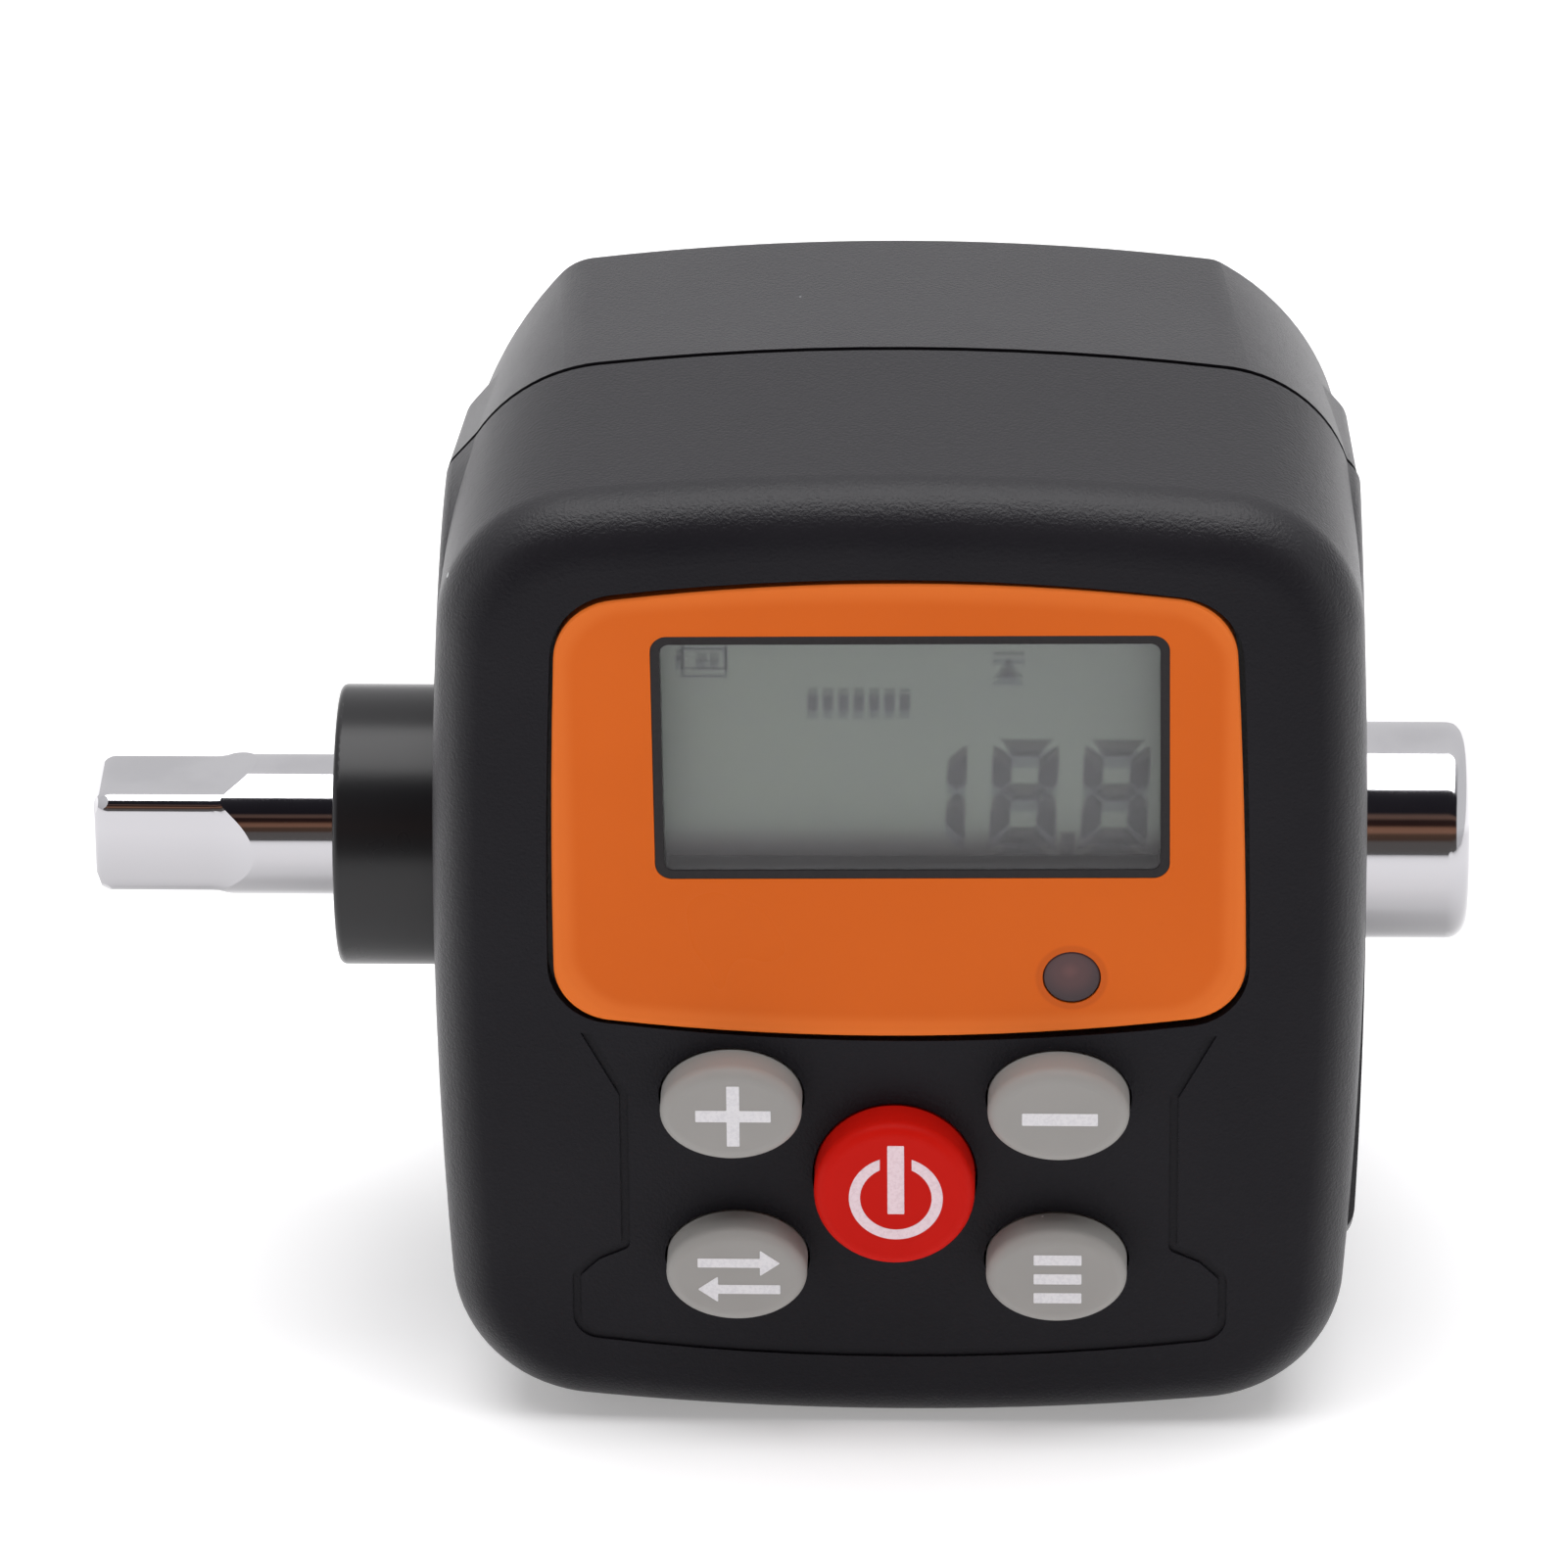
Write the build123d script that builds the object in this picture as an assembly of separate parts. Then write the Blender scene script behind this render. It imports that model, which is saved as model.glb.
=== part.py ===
from build123d import *
import math
import os

# Digital torque adapter. A square-drive shaft along X runs through a two-shell plastic
# housing with a display panel and five keys on its front (-Y) face.
# Frame: +X along the shaft towards the female end, -Y out of the display, +Z up.
# The origin is on the flat bottom of the housing, directly under the shaft's axis.
# The solids are drawn about the shaft's axis and lifted by SHAFT_Z when they are written.

# ---- driving dimensions, mm ----
SHAFT_Z = 29.25          # height of the shaft's axis above the rest face

# housing outline (crowned rectangle) at the split and at the front face
HALF_W = 26.4            # half width at the height of the shaft, without the pads
TOP_Z = 30.74            # top of the crown at the split
TOP_Z_FRONT = 29.95      # top of the crown at the front face
HALF_W_FRONT = 26.43
BOTTOM_Z = -29.5         # bottom of the crown before the rest land is cut
R_CROWN = 172.0          # radius of the crowned top and bottom
R_SIDE = 350.0           # radius of the crowned sides
R_CORNER = 8.5
FRONT_Y = -19.0
BACK_Y = 21.5
TOP_Z_BACK = 27.81       # the top slopes down to the back
R_FRONT_EDGE = 3.6
R_BACK_EDGE = 1.0
FRONT_EDGE_Y = -0.60     # the two shells stop short of each other: a shadow gap
REAR_EDGE_Y = -0.15
PAD_R = 24.73            # radius of the round pads about the shaft, at their foot
PAD_SLOPE = 0.89         # the rim of a pad runs in by 0.89 mm per mm of radius
PAD_EDGE_R = 1.6         # rounding between the rim and the crowned face of a pad
PAD_CROWN_R = 420.0
PAD_FALL = {1: 0.20, -1: 0.225}   # the rear pads grow shorter by this per mm towards the back
WALL = 2.0
IN_FRONT_Y = FRONT_Y + WALL
IN_BACK_Y = BACK_Y - WALL

# shaft
BAR_R = 4.125            # 8.25 mm bar, the size a 1/4 in square is cut from
SQ = 6.35                # male square across flats
TIP_X = -46.9
SQ_END_X = -39.4
RAMP = 27.0              # degrees: slope of the ramps from the flats to the bar
R_SQ_EDGE = 1.05         # rounding of the square's long edges
R_TIP = 1.0
COLLAR_R = 8.15
COLLAR_X0, COLLAR_X1 = -32.7, -26.68
HUB_R = 6.35             # female end
END_X = 32.63
SOCKET = 6.45
SOCKET_DEPTH = 9.0

# panel
PANEL_HALF_W = 19.53
PANEL_TOP, PANEL_BOTTOM = 25.0, -3.5
PANEL_TILT = 0.45        # degrees: the panel is stuck on slightly turned
PANEL_Y0, PANEL_Y1 = -19.05, -17.9
RECESS_Y = -17.88
WIN_C = (0.80, 14.20)    # window frame, centre and size
WIN_W, WIN_H = 28.9, 15.2
FRAME_T = 0.52
LED_C = (9.8, 0.35)
LED_R = 1.65

# keys
KEY_A, KEY_B = 4.02, 2.98  # half axes of the oval keys
KEY_C = {"plus": (-9.48, -7.43), "minus": (9.09, -7.43), "unit": (-9.25, -17.93),
         "mode": (9.0, -17.95), "power": (-0.23, -12.58)}
PWR_R = 4.58
KEY_OUT = 2.45           # how far the keys stand out of the front face
KEY_EDGE_R = 0.75
KEY_STROKE = 0.8

# board
PCB_Y0, PCB_Y1 = -11.6, -10.0
PCB_HALF_W = 20.5

# back
BAT_X, BAT_Y, BAT_R = 5.4, 13.75, 5.15
DOOR_HALF_W = 12.3
DOOR_Y0, DOOR_Y1 = 19.85, 21.35
DOOR_TOP = 24.4
HINGE_Y, HINGE_Z = 20.6, -24.15
DOOR_T = DOOR_Y1 - DOOR_Y0
SCREW_X, SCREW_Z = 19.0, 18.5
PCB_SCREW = (18.2, 9.5)

# detent
BALL_R = 1.2
BALL_OUT = 0.45
BALL_X = -43.1


# ---- helpers ----
def at_y(sketch, y):
    "put a flat sketch (local x = X, local y = Z) at depth y"
    return Plane.XZ.offset(-y) * sketch


def prism(sketch, y0, y1):
    a, b = min(y0, y1), max(y0, y1)
    return extrude(at_y(sketch, b), amount=b - a)


def box(x0, x1, y0, y1, z0, z1):
    return Pos((x0 + x1) / 2, (y0 + y1) / 2, (z0 + z1) / 2) * Box(x1 - x0, y1 - y0, z1 - z0)


def cyl_x(r, x0, x1, y=0.0, z=0.0):
    return Pos((x0 + x1) / 2, y, z) * Rot(0, 90, 0) * Cylinder(r, x1 - x0)


def cyl_y(r, y0, y1, x=0.0, z=0.0):
    return Pos(x, (y0 + y1) / 2, z) * Rot(90, 0, 0) * Cylinder(r, y1 - y0)


def cyl_z(r, z0, z1, x=0.0, y=0.0):
    return Pos(x, y, (z0 + z1) / 2) * Cylinder(r, z1 - z0)


def crowned(half_w, top, bottom, r_top, r_bottom, r_side, r_corner, r_corner_low=None, z_right=0.0):
    "a rectangle with four crowned sides and rounded corners"
    s = Pos(0, top - r_top) * Circle(r_top)
    s = s & (Pos(0, bottom + r_bottom) * Circle(r_bottom))
    s = s & (Pos(half_w - r_side, z_right) * Circle(r_side))
    s = s & (Pos(r_side - half_w, 0) * Circle(r_side))
    vs = s.vertices().sort_by(Axis.Y)
    low = r_corner if r_corner_low is None else r_corner_low
    s = fillet(vs[:2], low)
    vs = s.vertices().sort_by(Axis.Y)
    top_pts = [v for v in s.vertices() if v.Y > (top + bottom) / 2 and abs(v.X) > half_w * 0.5]
    return fillet(top_pts, r_corner)


def arc_y(x, apex, radius, sign):
    return apex - sign * (radius - math.sqrt(radius * radius - x * x))


def circle_of(p, q, r):
    "the circle through three points, as centre x, centre y, radius"
    (ax, ay), (bx, by), (cx, cy) = p, q, r
    d = 2 * (ax * (by - cy) + bx * (cy - ay) + cx * (ay - by))
    ux = ((ax * ax + ay * ay) * (by - cy) + (bx * bx + by * by) * (cy - ay) + (cx * cx + cy * cy) * (ay - by)) / d
    uy = ((ax * ax + ay * ay) * (cx - bx) + (bx * bx + by * by) * (ax - cx) + (cx * cx + cy * cy) * (bx - ax)) / d
    return ux, uy, math.hypot(ax - ux, ay - uy)


def on_circle(c, p, q, f):
    "the point at the fraction f of the arc of the circle c from p to q"
    a0 = math.atan2(p[1] - c[1], p[0] - c[0])
    turn = (math.atan2(q[1] - c[1], q[0] - c[0]) - a0 + math.pi) % (2 * math.pi) - math.pi
    return c[0] + c[2] * math.cos(a0 + f * turn), c[1] + c[2] * math.sin(a0 + f * turn)


def round_between(a, b, r, near):
    "circle of radius r that touches the circles a and b from inside, and the two points of contact"
    ra, rb = a[2] - r, b[2] - r
    dx, dy = b[0] - a[0], b[1] - a[1]
    d = math.hypot(dx, dy)
    m = (ra * ra - rb * rb + d * d) / (2 * d)
    k = math.sqrt(ra * ra - m * m)
    options = [(a[0] + (m * dx + sg * k * dy) / d, a[1] + (m * dy - sg * k * dx) / d) for sg in (1, -1)]
    c = min(options, key=lambda o: math.hypot(o[0] - near[0], o[1] - near[1]))
    ends = []
    for g in (a, b):
        n = math.hypot(c[0] - g[0], c[1] - g[1])
        ends.append((c[0] + (c[0] - g[0]) / n * r, c[1] + (c[1] - g[1]) / n * r))
    return (c[0], c[1], r), ends[0], ends[1]


def smooth_outline(sides, rounds, dividing=()):
    "closed outline of big arcs (circles, clockwise) joined by smaller ones (radius, place) without a kink"
    n = len(sides)
    joins = [round_between(sides[i], sides[(i + 1) % n], *rounds[i]) for i in range(n)]
    e = []
    for i in range(n):
        p, q = joins[i - 1][2], joins[i][1]
        e.append(ThreePointArc(p, on_circle(sides[i], p, q, 0.5), q))
        c, p, q = joins[i]
        cuts = [0.0] + (list(dividing) if i in (0, n - 1) else []) + [1.0]
        for f, g in zip(cuts, cuts[1:]):
            e.append(ThreePointArc(on_circle(c, p, q, f), on_circle(c, p, q, (f + g) / 2), on_circle(c, p, q, g)))
    return make_face(Wire(e))


def section(pts_top, corner_up, side, top, half_w, bottom):
    "a closed section of eight arcs whose corners are cut in"
    xt, zt = pts_top
    xs, zs = side
    xb, zb = pts_top[0], bottom + (top - zt)
    xsb, zsb = xs, -zs * 0.98
    cu, cz = corner_up
    clx, clz = cu, bottom + (top - cz)
    e = [
        ThreePointArc((-xt, zt), (0, top), (xt, zt)),
        ThreePointArc((xt, zt), (cu, cz), (xs, zs)),
        ThreePointArc((xs, zs), (half_w, 0), (xsb, zsb)),
        ThreePointArc((xsb, zsb), (clx, clz), (xb, zb)),
        ThreePointArc((xb, zb), (0, bottom), (-xb, zb)),
        ThreePointArc((-xb, zb), (-clx, clz), (-xsb, zsb)),
        ThreePointArc((-xsb, zsb), (-half_w, 0), (-xs, zs)),
        ThreePointArc((-xs, zs), (-cu, cz), (-xt, zt)),
    ]
    return make_face(Wire(e))


REST_CUT = box(-60, 60, -60, 60, -60, -SHAFT_Z)
parts = {}

# the outline at the split, which both shells share; its upper corners differ a little
LOW = (0, BOTTOM_Z + R_CROWN, R_CROWN)
SIDE_R, SIDE_L = (HALF_W - 332.0, 0, 332.0), (332.0 - HALF_W, 0, 332.0)
SPLIT_TOP = circle_of((-17.6, 29.68), (0, TOP_Z), (18.8, 29.57))
SPLIT_ROUNDS = [(8.3, (17, 21)), (8.5, (17, -20)), (8.5, (-17, -20)), (9.7, (-16, 20))]
split_out = smooth_outline([SPLIT_TOP, SIDE_R, LOW, SIDE_L], SPLIT_ROUNDS)


# ---- pads where the shaft comes out: a sloped rim, a rounded edge and a crowned face ----
def pad_profile(apex, foot, reach):
    "corner of a pad's profile (distance along X, radius) and the ends of its rounding"
    r = PAD_R
    while foot + (PAD_R - r) * PAD_SLOPE < apex - r * r / (2 * PAD_CROWN_R):
        r -= 0.001
    corner = (foot + (PAD_R - r) * PAD_SLOPE, r)
    u = (-PAD_SLOPE, 1.0)
    v = (r / PAD_CROWN_R, -1.0)
    lu, lv = math.hypot(*u), math.hypot(*v)
    u, v = (u[0] / lu, u[1] / lu), (v[0] / lv, v[1] / lv)
    half = math.acos(u[0] * v[0] + u[1] * v[1]) / 2
    t = reach / math.tan(half)
    b = (u[0] + v[0], u[1] + v[1])
    lb = math.hypot(*b)
    c = (corner[0] + b[0] / lb * reach / math.sin(half), corner[1] + b[1] / lb * reach / math.sin(half))
    a0 = (corner[0] + u[0] * t, corner[1] + u[1] * t)
    a2 = (corner[0] + v[0] * t, corner[1] + v[1] * t)
    a1 = (c[0] - b[0] / lb * reach, c[1] - b[1] / lb * reach)
    return a0, a1, a2


def hub_disc(sign, apex, foot):
    "round pad on the front shell, turned about the shaft's axis"
    a0, a1, a2 = pad_profile(apex, foot, PAD_EDGE_R)
    base = 23.5
    start = (base, PAD_R + (foot - base) / PAD_SLOPE)
    mid_r = a2[1] / 2
    e = [
        Line((base, 0), start), Line(start, a0), ThreePointArc(a0, a1, a2),
        ThreePointArc(a2, (apex - mid_r ** 2 / (2 * PAD_CROWN_R), mid_r), (apex, 0)), Line((apex, 0), (base, 0)),
    ]
    d = revolve(make_face(Wire(e)), Axis.X)
    return d if sign > 0 else mirror(d, about=Plane.YZ)


# ---- front housing ----
front_out = crowned(HALF_W_FRONT, TOP_Z_FRONT, BOTTOM_Z, R_CROWN, R_CROWN, R_SIDE, R_CORNER, z_right=6.0)
front = loft([at_y(split_out, FRONT_EDGE_Y).face(), at_y(front_out, FRONT_Y).face()], ruled=True)
front = fillet(front.faces().sort_by(Axis.Y)[0].edges(), R_FRONT_EDGE)
discs = hub_disc(1, 26.7, 24.55) + hub_disc(-1, 26.65, 24.75)
in_front_zone = box(-60, 60, -15.2, FRONT_EDGE_Y, -60, 60)
front = front + (discs & in_front_zone)
cavity = prism(crowned(24.2, 27.7, -27.2, R_CROWN, R_CROWN, R_SIDE, 8.6), IN_FRONT_Y, 5)
front = front - cavity
# fixing posts and the seats that hold the shaft's collar and bush
posts = None
for sx in (1, -1):
    for sz in (1, -1):
        p = cyl_y(2.6, IN_FRONT_Y - 0.3, FRONT_EDGE_Y, sx * SCREW_X, sz * SCREW_Z)
        q = cyl_y(1.7, IN_FRONT_Y - 0.3, PCB_Y0, sx * PCB_SCREW[0], sz * PCB_SCREW[1])
        front = front + p + q
for sx in (1, -1):
    blk = box(21.2, 24.8, -10.6, FRONT_EDGE_Y, -11, 11) if sx > 0 else box(-24.8, -21.8, -10.6, FRONT_EDGE_Y, -11, 11)
    front = front + blk
for sx in (1, -1):
    for sz in (1, -1):
        front = front - cyl_y(1.15, -11.0, 5, sx * SCREW_X, sz * SCREW_Z)
        front = front - cyl_y(0.75, -16.0, PCB_Y0 + 1, sx * PCB_SCREW[0], sz * PCB_SCREW[1])

# the rear shell's tongue enters a rebate, which runs past the seats but not the posts
rebate = prism(offset(split_out, -1.05), -2.1, 5) - prism(offset(split_out, -2.15), -3, 6)
front = front - rebate

shaft_cut = (
    cyl_x(6.6, -40, -20) + cyl_x(8.05, -24.2, -20)
    + cyl_x(6.47, 20, 40) + cyl_x(9.05, 20, 24.25)
)
front = front - shaft_cut

# panel recess, window opening, status light and key holes
panel_sk = crowned(PANEL_HALF_W, PANEL_TOP, PANEL_BOTTOM, 125.0, 130.0, 420.0, 3.8, 3.5)
PC = (0.0, 10.8)
tilt = Pos(PC[0], PC[1]) * Rot(0, 0, PANEL_TILT) * Pos(-PC[0], -PC[1])
recess_sk = crowned(PANEL_HALF_W + 0.28, PANEL_TOP + 0.25, PANEL_BOTTOM - 0.32, 125.0, 130.0, 420.0, 4.05, 3.7)
front = front - prism(recess_sk, FRONT_Y - 1, RECESS_Y)
win_outer = tilt * Pos(*WIN_C) * RectangleRounded(WIN_W, WIN_H, 0.95)
win_hole = tilt * Pos(*WIN_C) * RectangleRounded(WIN_W + 0.1, WIN_H + 0.1, 1.0)
front = front - prism(win_hole, -20, IN_FRONT_Y + 0.5)
front = front - cyl_y(LED_R, -20, IN_FRONT_Y + 0.5, *LED_C)


def key_sk(name, grow=0.0):
    if name == "power":
        return Pos(*KEY_C[name]) * Circle(PWR_R + grow)
    return Pos(*KEY_C[name]) * Ellipse(KEY_A + grow, KEY_B + grow)


KEYS = ("plus", "minus", "unit", "mode", "power")
for k in KEYS:
    front = front - prism(key_sk(k, 0.14), -20, IN_FRONT_Y + 0.5)

# shallow groove round the keypad
gx0, gx1 = 18.75, 15.9
pts = [(gx0, -2.0), (gx1, -7.4), (gx1, -17.05), (17.45, -17.75), (18.75, -19.0), (18.75, -23.2)]
edge_pts = pts
left_pts = [(-x, z) for x, z in reversed(pts)]
e = [Line(edge_pts[i], edge_pts[i + 1]) for i in range(len(edge_pts) - 1)]
e.append(ThreePointArc(edge_pts[-1], (0, -24.5), left_pts[0]))
e += [Line(left_pts[i], left_pts[i + 1]) for i in range(len(left_pts) - 1)]
e.append(Line(left_pts[-1], edge_pts[0]))
pad_sk = make_face(Wire(e))
pad_sk = fillet([v for v in pad_sk.vertices() if v.Y < -22], 1.6)
pad_sk = fillet([v for v in pad_sk.vertices() if -19.5 < v.Y < -18.5 and abs(v.X) > 18], 0.9)
groove_sk = pad_sk - offset(pad_sk, -0.5)
groove_sk = groove_sk & (Pos(0, -23.0) * Rectangle(80, 39.2))
front = front - prism(groove_sk, -20, FRONT_Y + 0.17)
front = front - REST_CUT
parts["front_housing"] = front

# ---- rear housing ----
rear_split = smooth_outline([SPLIT_TOP, SIDE_R, LOW, SIDE_L], SPLIT_ROUNDS, (0.12, 0.85))
BACK_TOP = circle_of((-17.6, 26.75), (0, TOP_Z_BACK), (17.95, 26.66))
BACK_R = circle_of((25.2, 16.8), (26.2, 0), (25.2, -20.8))
BACK_L = circle_of((-25.2, -20.8), (-26.2, 0), (-25.2, 17.4))
CUT_R = circle_of((17.95, 26.66), (22.2, 23.1), (25.2, 16.8))
CUT_L = circle_of((-25.2, 17.4), (-22.9, 22.25), (-20.9, 25.1))
# the same number of arcs as in the split's outline, whose upper corners are divided in three
back_sides = [BACK_TOP, CUT_R, BACK_R, LOW, BACK_L, CUT_L]
back_rounds = [(1.6, (17.5, 25)), (6.0, (19, 17)), (8.5, (17, -20)), (8.5, (-17, -20)), (8.0, (-18, 16)), (3.0, (-18, 24))]
rear_back = smooth_outline(back_sides, back_rounds)
rear = loft([at_y(rear_split, REAR_EDGE_Y).face(), at_y(rear_back, BACK_Y).face()], ruled=True)
rear = fillet(rear.faces().sort_by(Axis.Y)[-1].edges(), R_BACK_EDGE)


def side_pad(sign, apex, foot):
    "pad behind the round one, which runs back with the slope of the top; its face has 2 degrees of draft"
    base = 23.5
    g = (foot - base) / PAD_SLOPE          # the outline is larger by this where the pad starts
    z0 = PAD_R + PAD_FALL[sign] * 4.0 + g
    z1 = PAD_R - PAD_FALL[sign] * (13.0 + g) + g
    y1, y2 = 13.0 + g, 17.0 + g
    poly = [(-4, -z0), (y1, -z1), (y2, -z1 + 6.0), (y2, z1 - 6.0), (y1, z1), (-4, z0)]
    sk = make_face(Wire([Line(poly[i], poly[(i + 1) % len(poly)]) for i in range(len(poly))]))
    sk = fillet([v for v in sk.vertices() if v.X > 10], 5.0)
    # the flat sketch's x runs back (+Y) and its y up (+Z), on the right side
    pl = Plane(origin=(base, 0, 0), x_dir=(0, 1, 0), z_dir=(1, 0, 0))
    p = extrude(pl * sk, amount=4.0, taper=math.degrees(math.atan(1 / PAD_SLOPE)))
    axis_x = apex - PAD_CROWN_R / math.cos(math.radians(2.0))
    face_cyl = Pos(axis_x, REAR_EDGE_Y, 0) * Rot(0, 0, 2.0) * Rot(90, 0, 0) * Cylinder(PAD_CROWN_R, 120)
    p = p & face_cyl
    rim = p.faces().sort_by(Axis.X)[-1]
    p = fillet([e for e in rim.edges() if e.center().Y > -3.9], PAD_EDGE_R)
    return p if sign > 0 else mirror(p, about=Plane.YZ)


pads = side_pad(1, 26.55, 24.55) + side_pad(-1, 26.6, 24.75)
rear_zone = box(-60, 60, REAR_EDGE_Y, 40, -60, 60)
rear = rear + (pads & rear_zone)
in_split = section((15.6, 27.85), (21.4, 25.0), (23.75, 18.6), 28.55, 24.4, -27.2)
in_back = section((15.8, 24.75), (20.2, 21.9), (23.2, 16.6), 25.7, 24.1, -27.2)
rear = rear - loft([at_y(in_split, REAR_EDGE_Y - 1).face(), at_y(in_back, IN_BACK_Y).face()], ruled=True)
# battery compartment
rear = rear + box(-12.4, 12.4, 7.3, 19.85, -26.8, 26.2)
for sx in (1, -1):
    for sz in (1, -1):
        rear = rear + cyl_y(3.2, REAR_EDGE_Y, IN_BACK_Y + 0.5, sx * SCREW_X, sz * SCREW_Z)
rear = rear + box(21.2, 24.8, REAR_EDGE_Y, 10.6, -11, 11)
rear = rear + box(-24.8, -21.8, REAR_EDGE_Y, 10.6, -11, 11)
rear = rear + cyl_y(2.4, 7.0, IN_BACK_Y + 0.5, -18.5, 0)
# tongue that enters the front shell
tongue = prism(offset(split_out, -1.15), -1.9, REAR_EDGE_Y + 0.3) - prism(offset(split_out, -2.05), -3, 3)
rear = rear + tongue
for sx in (1, -1):
    for sz in (1, -1):
        rear = rear - cyl_y(2.3, 8.0, 30, sx * SCREW_X, sz * SCREW_Z)
        rear = rear - cyl_y(1.2, -3, 9, sx * SCREW_X, sz * SCREW_Z)
rear = rear - box(-11.2, 11.2, 8.4, 30, -25.3, 24.6)
door_hole = box(-DOOR_HALF_W - 0.15, DOOR_HALF_W + 0.15, 19.8, 30, HINGE_Z, DOOR_TOP + 0.2)
door_hole = fillet(door_hole.edges().filter_by(Axis.Y).group_by(Axis.Z)[-1], 1.6)
rear = rear - door_hole
rear = rear - cyl_x(DOOR_T / 2 + 0.15, -DOOR_HALF_W - 0.15, DOOR_HALF_W + 0.15, HINGE_Y, HINGE_Z)
rear = rear - box(-DOOR_HALF_W - 0.15, DOOR_HALF_W + 0.15, HINGE_Y, 30, HINGE_Z - DOOR_T / 2 - 0.15, HINGE_Z + 1)
rear = rear - cyl_x(0.55, -13.7, 13.7, HINGE_Y, HINGE_Z)
rear = rear - cyl_y(1.04, 5, 11.0, -18.5, 0)
# ways for the battery leads through the compartment's floor
for sx in (1, -1):
    rear = rear - cyl_y(0.8, 7, 9, sx * 8.5, -23.6)
rear = rear - shaft_cut
rear = rear - REST_CUT
parts["rear_housing"] = rear

# ---- battery door: rounded lower edge turns about the hinge line ----
door = box(-DOOR_HALF_W, DOOR_HALF_W, DOOR_Y0, DOOR_Y1, HINGE_Z, DOOR_TOP)
door = fillet(door.edges().filter_by(Axis.Y).group_by(Axis.Z)[-1], 1.5)
door = fillet(door.faces().sort_by(Axis.Y)[-1].edges().group_by(Axis.Z)[-1], 0.35)
door = door + cyl_x(DOOR_T / 2, -DOOR_HALF_W, DOOR_HALF_W, HINGE_Y, HINGE_Z)
door = door + cyl_x(0.5, -13.4, 13.4, HINGE_Y, HINGE_Z)
door = door + box(-3.2, 3.2, 18.7, DOOR_Y0 + 0.3, 22.9, 24.2)
# thumb scallop and four grip ribs
door = door - (Pos(0, DOOR_Y1 + 8.3, 19.5) * Sphere(8.9))
for i in range(4):
    door = door + box(-4.5, 4.5, DOOR_Y1 - 0.3, DOOR_Y1 + 0.12, 11.2 + i * 1.5, 11.8 + i * 1.5)
parts["battery_door"] = door

# ---- panel, window and status lens ----
panel = prism(tilt * panel_sk, PANEL_Y0, PANEL_Y1)
panel = panel - prism(win_outer, -20, -17)
panel = chamfer(panel.faces().sort_by(Axis.Y)[0].outer_wire().edges(), 0.12)
panel = panel - cyl_y(LED_R, -20, -17, *LED_C)
parts["face_panel"] = panel
bez_out = tilt * Pos(*WIN_C) * RectangleRounded(WIN_W - 0.04, WIN_H - 0.04, 0.93)
bez_in = tilt * Pos(*WIN_C) * RectangleRounded(WIN_W - 2 * FRAME_T, WIN_H - 2 * FRAME_T, 0.55)
parts["display_bezel"] = prism(bez_out, -19.02, -17.25) - prism(bez_in, -20, -17)
pane_sk = tilt * Pos(*WIN_C) * RectangleRounded(WIN_W - 2 * FRAME_T - 0.04, WIN_H - 2 * FRAME_T - 0.04, 0.53)
parts["display_window"] = prism(pane_sk, -18.95, -18.15)
lens = cyl_y(LED_R - 0.03, -19.0, -17.95, *LED_C)
parts["led_lens"] = fillet(lens.edges().filter_by(GeomType.CIRCLE).sort_by(Axis.Y)[0], 0.15)

# ---- display stack ----
LX0, LX1, LZ0, LZ1 = -14.0, 15.6, 5.1, 23.5
parts["lcd_cell"] = box(LX0, LX1, -16.95, -15.15, LZ0, LZ1)
parts["lcd_reflector"] = box(-12.9, 14.5, -15.15, -14.97, 8.0, 20.6)
holder = box(-14.9, 16.3, -16.95, -11.65, 4.2, 24.4)
holder = holder - box(LX0 - 0.1, LX1 + 0.1, -17.2, -14.95, LZ0 - 0.1, LZ1 + 0.1)
holder = holder - box(-12.2, 13.8, -16, -11, 8.4, 20.2)
for z0, z1 in ((5.6, 7.6), (21.0, 23.0)):
    holder = holder - box(-13.0, 14.6, -16, -11, z0, z1)
parts["lcd_holder"] = holder
parts["zebra_strips"] = Compound([
    box(-12.9, 14.5, -15.13, PCB_Y0, 5.75, 7.45).solid(),
    box(-12.9, 14.5, -15.13, PCB_Y0, 21.15, 22.85).solid(),
])

# ---- keypad ----
mat = prism(Pos(0, -12.6) * RectangleRounded(31.0, 18.6, 2.5), -16.9, -16.1)
for k in KEYS:
    mat = mat - prism(key_sk(k, 0.75), -18, -15)
parts["keypad_mat"] = mat
for k in KEYS:
    head = prism(key_sk(k), FRONT_Y - KEY_OUT, -16.5)
    front_edges = head.edges().sort_by(Axis.Y)[:1]
    head = fillet(front_edges, KEY_EDGE_R)
    flange = prism(key_sk(k, 0.5), -16.9, -16.1)
    c = key_sk(k).center()
    stem = cyl_y(1.6, -16.3, PCB_Y0 - 0.5 - 0.85, c.X, c.Y)
    parts["key_" + k] = head + flange + stem
domes = []
for k in KEYS:
    c = key_sk(k).center()
    d = cyl_y(2.3, PCB_Y0 - 0.5, PCB_Y0, c.X, c.Y)
    d = fillet(d.edges().filter_by(GeomType.CIRCLE).sort_by(Axis.Y)[0], 0.4)
    domes.append(d.solid())
parts["switch_domes"] = Compound(domes)

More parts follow.
